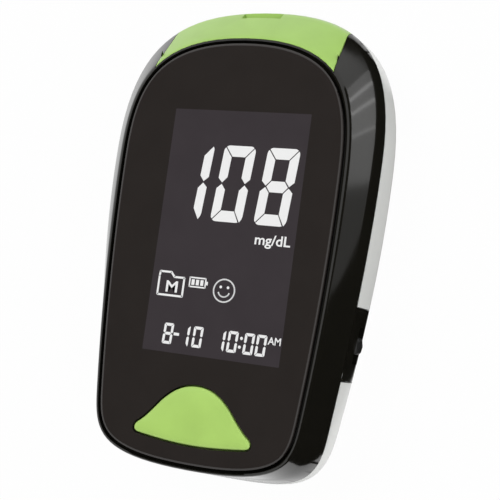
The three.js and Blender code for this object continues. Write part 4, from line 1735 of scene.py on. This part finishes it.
    def battery_sign(self) -> None:
        """Adds the small sign for the cells."""
        left, right, top, bottom = mm(-4.6, -1.2, -9.2, -11)
        inset, bar = mm(0.35, 0.65)
        self.band(rectangle(left, bottom, right, top), 0.28 * MM, True)
        middle = (top + bottom) / 2
        nub = rectangle(right + 0.1 * MM, middle - inset, right + 0.5 * MM, middle + inset)
        self.sheet("Nub", nub)
        for i in range(3):
            start = left + (0.4 + 0.95 * i) * MM
            self.sheet("Charge", rectangle(start, bottom + inset, start + bar, top - inset))

    def build(self) -> None:
        """Builds the field and everything printed on it."""
        left, right = self.window_sides
        low, high = self.window_ends
        field_ = plate(
            "Display_field",
            rectangle(left, low, right, high),
            self.lens_top - self.field_depth,
            self.lens_top + self.field_rise,
            self.window_corner,
        )
        dressed(field_, DISPLAY_GREY, Body.CASE, "display")
        for character, right in zip("108", self.reading):
            self.figure(character, self.big, right, self.reading_bottom)
        for character, right in zip("8101000", self.row):
            self.figure(character, self.small, right, self.row_bottom)
        self.band([mm(-6.4, -20.6), mm(-5.4, -20.6)], 0.55 * MM)
        for place in (mm(7.85, -19.75), mm(7.65, -21.45)):
            self.disc(*place, 0.3 * MM)
        self.words("mg/dL", mm(7.75, -1.5), 1.95 * MM, 7.3 * MM)
        self.words("AM", mm(13.3, -20.2), 1.4 * MM, 2.6 * MM)
        self.face_sign(*mm(2.9, -11.1, 2.2))
        self.folder_sign()
        self.battery_sign()
        figures = joined(self.prints, "Display_figures")
        dressed(figures, FIGURES, Body.CASE, "display")


NODE_FINISHES = {
    "ejector_slide": DARK,
    "display_glass": DISPLAY_GREY,
    "display_frame": WHITE_FRAME,
    "backlight_panel": WHITE_FRAME,
    "zebra_strip": SILICONE,
    "main_board": BOARD,
    "microcontroller": CHIP,
    "buzzer": BRASS,
    "strip_socket": WHITE_FRAME,
    "strip_contact_1": BRASS,
    "strip_contact_2": BRASS,
    "strip_contact_3": BRASS,
    "button_dome": SILICONE,
    "set_dome": SILICONE,
    "ejector_spring": STEEL,
    "contact_plus": STEEL,
    "contact_minus": STEEL,
    "contact_bridge": STEEL,
    "board_screw_1": STEEL,
    "board_screw_2": STEEL,
}


def dress_nodes() -> None:
    """Gives every CAD node that stays its procedural material."""
    for name, finish in NODE_FINISHES.items():
        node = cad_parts[name]
        node.data.materials.clear()
        node.data.materials.append(finish.material())
        LOG.info("%s dressed as %s", name, finish.name)


@dataclass(frozen=True)
class Lamp:
    """A soft square lamp that faces the meter."""

    name: str
    place: Place
    size: float
    power: float
    glossy: bool = False

    def build(self) -> None:
        """Adds the lamp."""
        data = bpy.data.lights.new(self.name, "AREA")
        data.size = self.size
        data.energy = self.power
        lamp = bpy.data.objects.new(self.name, data)
        bpy.context.scene.collection.objects.link(lamp)
        lamp.location = self.place
        lamp.rotation_euler = (-Vector(self.place)).to_track_quat("-Z", "Y").to_euler()
        lamp.visible_glossy = self.glossy
        lamp.visible_camera = False


LAMPS = (
    Lamp("Key lamp", (-0.35, 0.25, 0.6), 0.5, 3.4),
    Lamp("Fill lamp", (0.5, -0.1, 0.45), 0.5, 2.2),
    *(
        Lamp(f"Right softbox {i + 1}", (0.42, 0.43 - 0.1 * i, 0.05), 0.1, power, True)
        for i, power in enumerate((0.06, 0.068, 0.072, 0.06, 0.016))
    ),
)
CARDS = {
    "Ceiling card": ((-0.75, -0.45, 0.6), (0.15, 0.5, 0.601)),
    "Right card": ((0.5, -0.6, 0.001), (0.501, 0.6, 0.4)),
    "Right floor card": ((0.0275, -0.6, 0.0001), (0.499, 0.6, 0.0002)),
}


@dataclass
class Studio:
    """The camera, the floor, the lamps and the world."""

    azimuth: float = math.radians(22.285)
    elevation: float = math.radians(-5.077)
    roll: float = math.radians(7.665)
    aside: float = -0.973 * MM
    upward: float = -0.743 * MM
    distance: float = 222.493 * MM
    focal_share: float = 1046.507 / 500
    sensor: float = 36
    clip_start: float = 0.005
    floor_size: float = 3
    floor_drop: float = 0.05 * MM
    floor_tone: float = 0.8
    floor_white: float = 0.97
    even_light: float = 0.22

    def camera(self) -> None:
        """Places the camera over the meter."""
        away = Vector(
            (
                math.sin(self.azimuth) * math.cos(self.elevation),
                math.sin(self.elevation),
                math.cos(self.azimuth) * math.cos(self.elevation),
            )
        )
        level = Vector((0, 1, 0)).cross(away).normalized()
        upright = away.cross(level)
        right = level * math.cos(self.roll) + upright * math.sin(self.roll)
        up = upright * math.cos(self.roll) - level * math.sin(self.roll)
        data = bpy.data.cameras.new("Camera")
        data.sensor_width = self.sensor
        data.lens = self.focal_share * self.sensor
        data.clip_start = self.clip_start
        camera = bpy.data.objects.new("Camera", data)
        bpy.context.scene.collection.objects.link(camera)
        place = Matrix.Translation(right * self.aside + up * self.upward + away * self.distance)
        turn = Matrix((right, up, away)).transposed().to_4x4()
        camera.matrix_world = place @ turn
        bpy.context.scene.camera = camera

    def floor(self) -> None:
        """A pale floor that reads as the photograph's white and keeps the shadow.

        It is clear from below.
        """
        bpy.ops.mesh.primitive_plane_add(size=self.floor_size, location=(0, 0, -self.floor_drop))
        floor = named(bpy.context.object, "Floor")
        material = bpy.data.materials.new("Floor")
        material.use_nodes = True
        tree = material.node_tree
        tone = (self.floor_tone, self.floor_tone, self.floor_tone, 1)
        inputs = {"Base Color": tone, "Roughness": 1, "Specular IOR Level": 0}
        matt = wired(tree.nodes["Principled BSDF"], inputs).outputs[0]
        white = added(tree, "Emission", {"Strength": 1}).outputs[0]
        share = added(tree, "Math", {0: seen(tree), 1: self.floor_white})
        share.operation = "MULTIPLY"
        above = mixed(tree, share.outputs[0], matt, white)
        clear = added(tree, "BsdfTransparent", {}).outputs[0]
        below = added(tree, "NewGeometry", {}).outputs["Backfacing"]
        wired(tree.nodes["Material Output"], {"Surface": mixed(tree, below, above, clear)})
        floor.data.materials.append(material)

    def card(self, name: str, low: Place, high: Place) -> None:
        """Adds a dark card that only mirroring surfaces see.

        Args:
            name: The piece's name.
            low: One corner of the card.
            high: The opposite corner.
        """
        card = block(name, low, high)
        card.data.materials.append(CARD.material())
        for kind in ("camera", "diffuse", "shadow", "transmission", "volume_scatter"):
            setattr(card, f"visible_{kind}", False)

    def world(self) -> None:
        """White for the camera and in mirroring surfaces, and an even light for the rest."""
        world = bpy.data.worlds.new("World")
        bpy.context.scene.world = world
        world.use_nodes = True
        tree = world.node_tree
        even = wired(tree.nodes["Background"], {"Color": WHITE, "Strength": self.even_light})
        white = added(tree, "Background", {"Color": WHITE, "Strength": 1})
        surface = mixed(tree, seen(tree), even.outputs[0], white.outputs[0])
        wired(tree.nodes["World Output"], {"Surface": surface})

    def build(self) -> None:
        """Sets up the studio."""
        bpy.context.scene.view_settings.view_transform = "Standard"
        self.camera()
        self.floor()
        self.world()
        for lamp in LAMPS:
            lamp.build()
        for name, (low, high) in CARDS.items():
            self.card(name, low, high)


def main() -> None:
    """Builds the meter, piece by piece, and the studio round it."""
    logging.basicConfig(level=logging.INFO, format="%(message)s")
    Studio().build()
    form = CaseForm()
    front = FrontHousing(form)
    front.build()
    rear = RearHousing(form)
    rear.build(front)
    Keys(form, rear.key_place).build()
    Ejector().build()
    Screws(form.screw_places, rear.screw_seat, rear.screw_head).build()
    for number in (1, 2):
        Cell(number).build()
    Display(front.lens_top).build()
    dress_nodes()


if __name__ == "__main__":
    main()
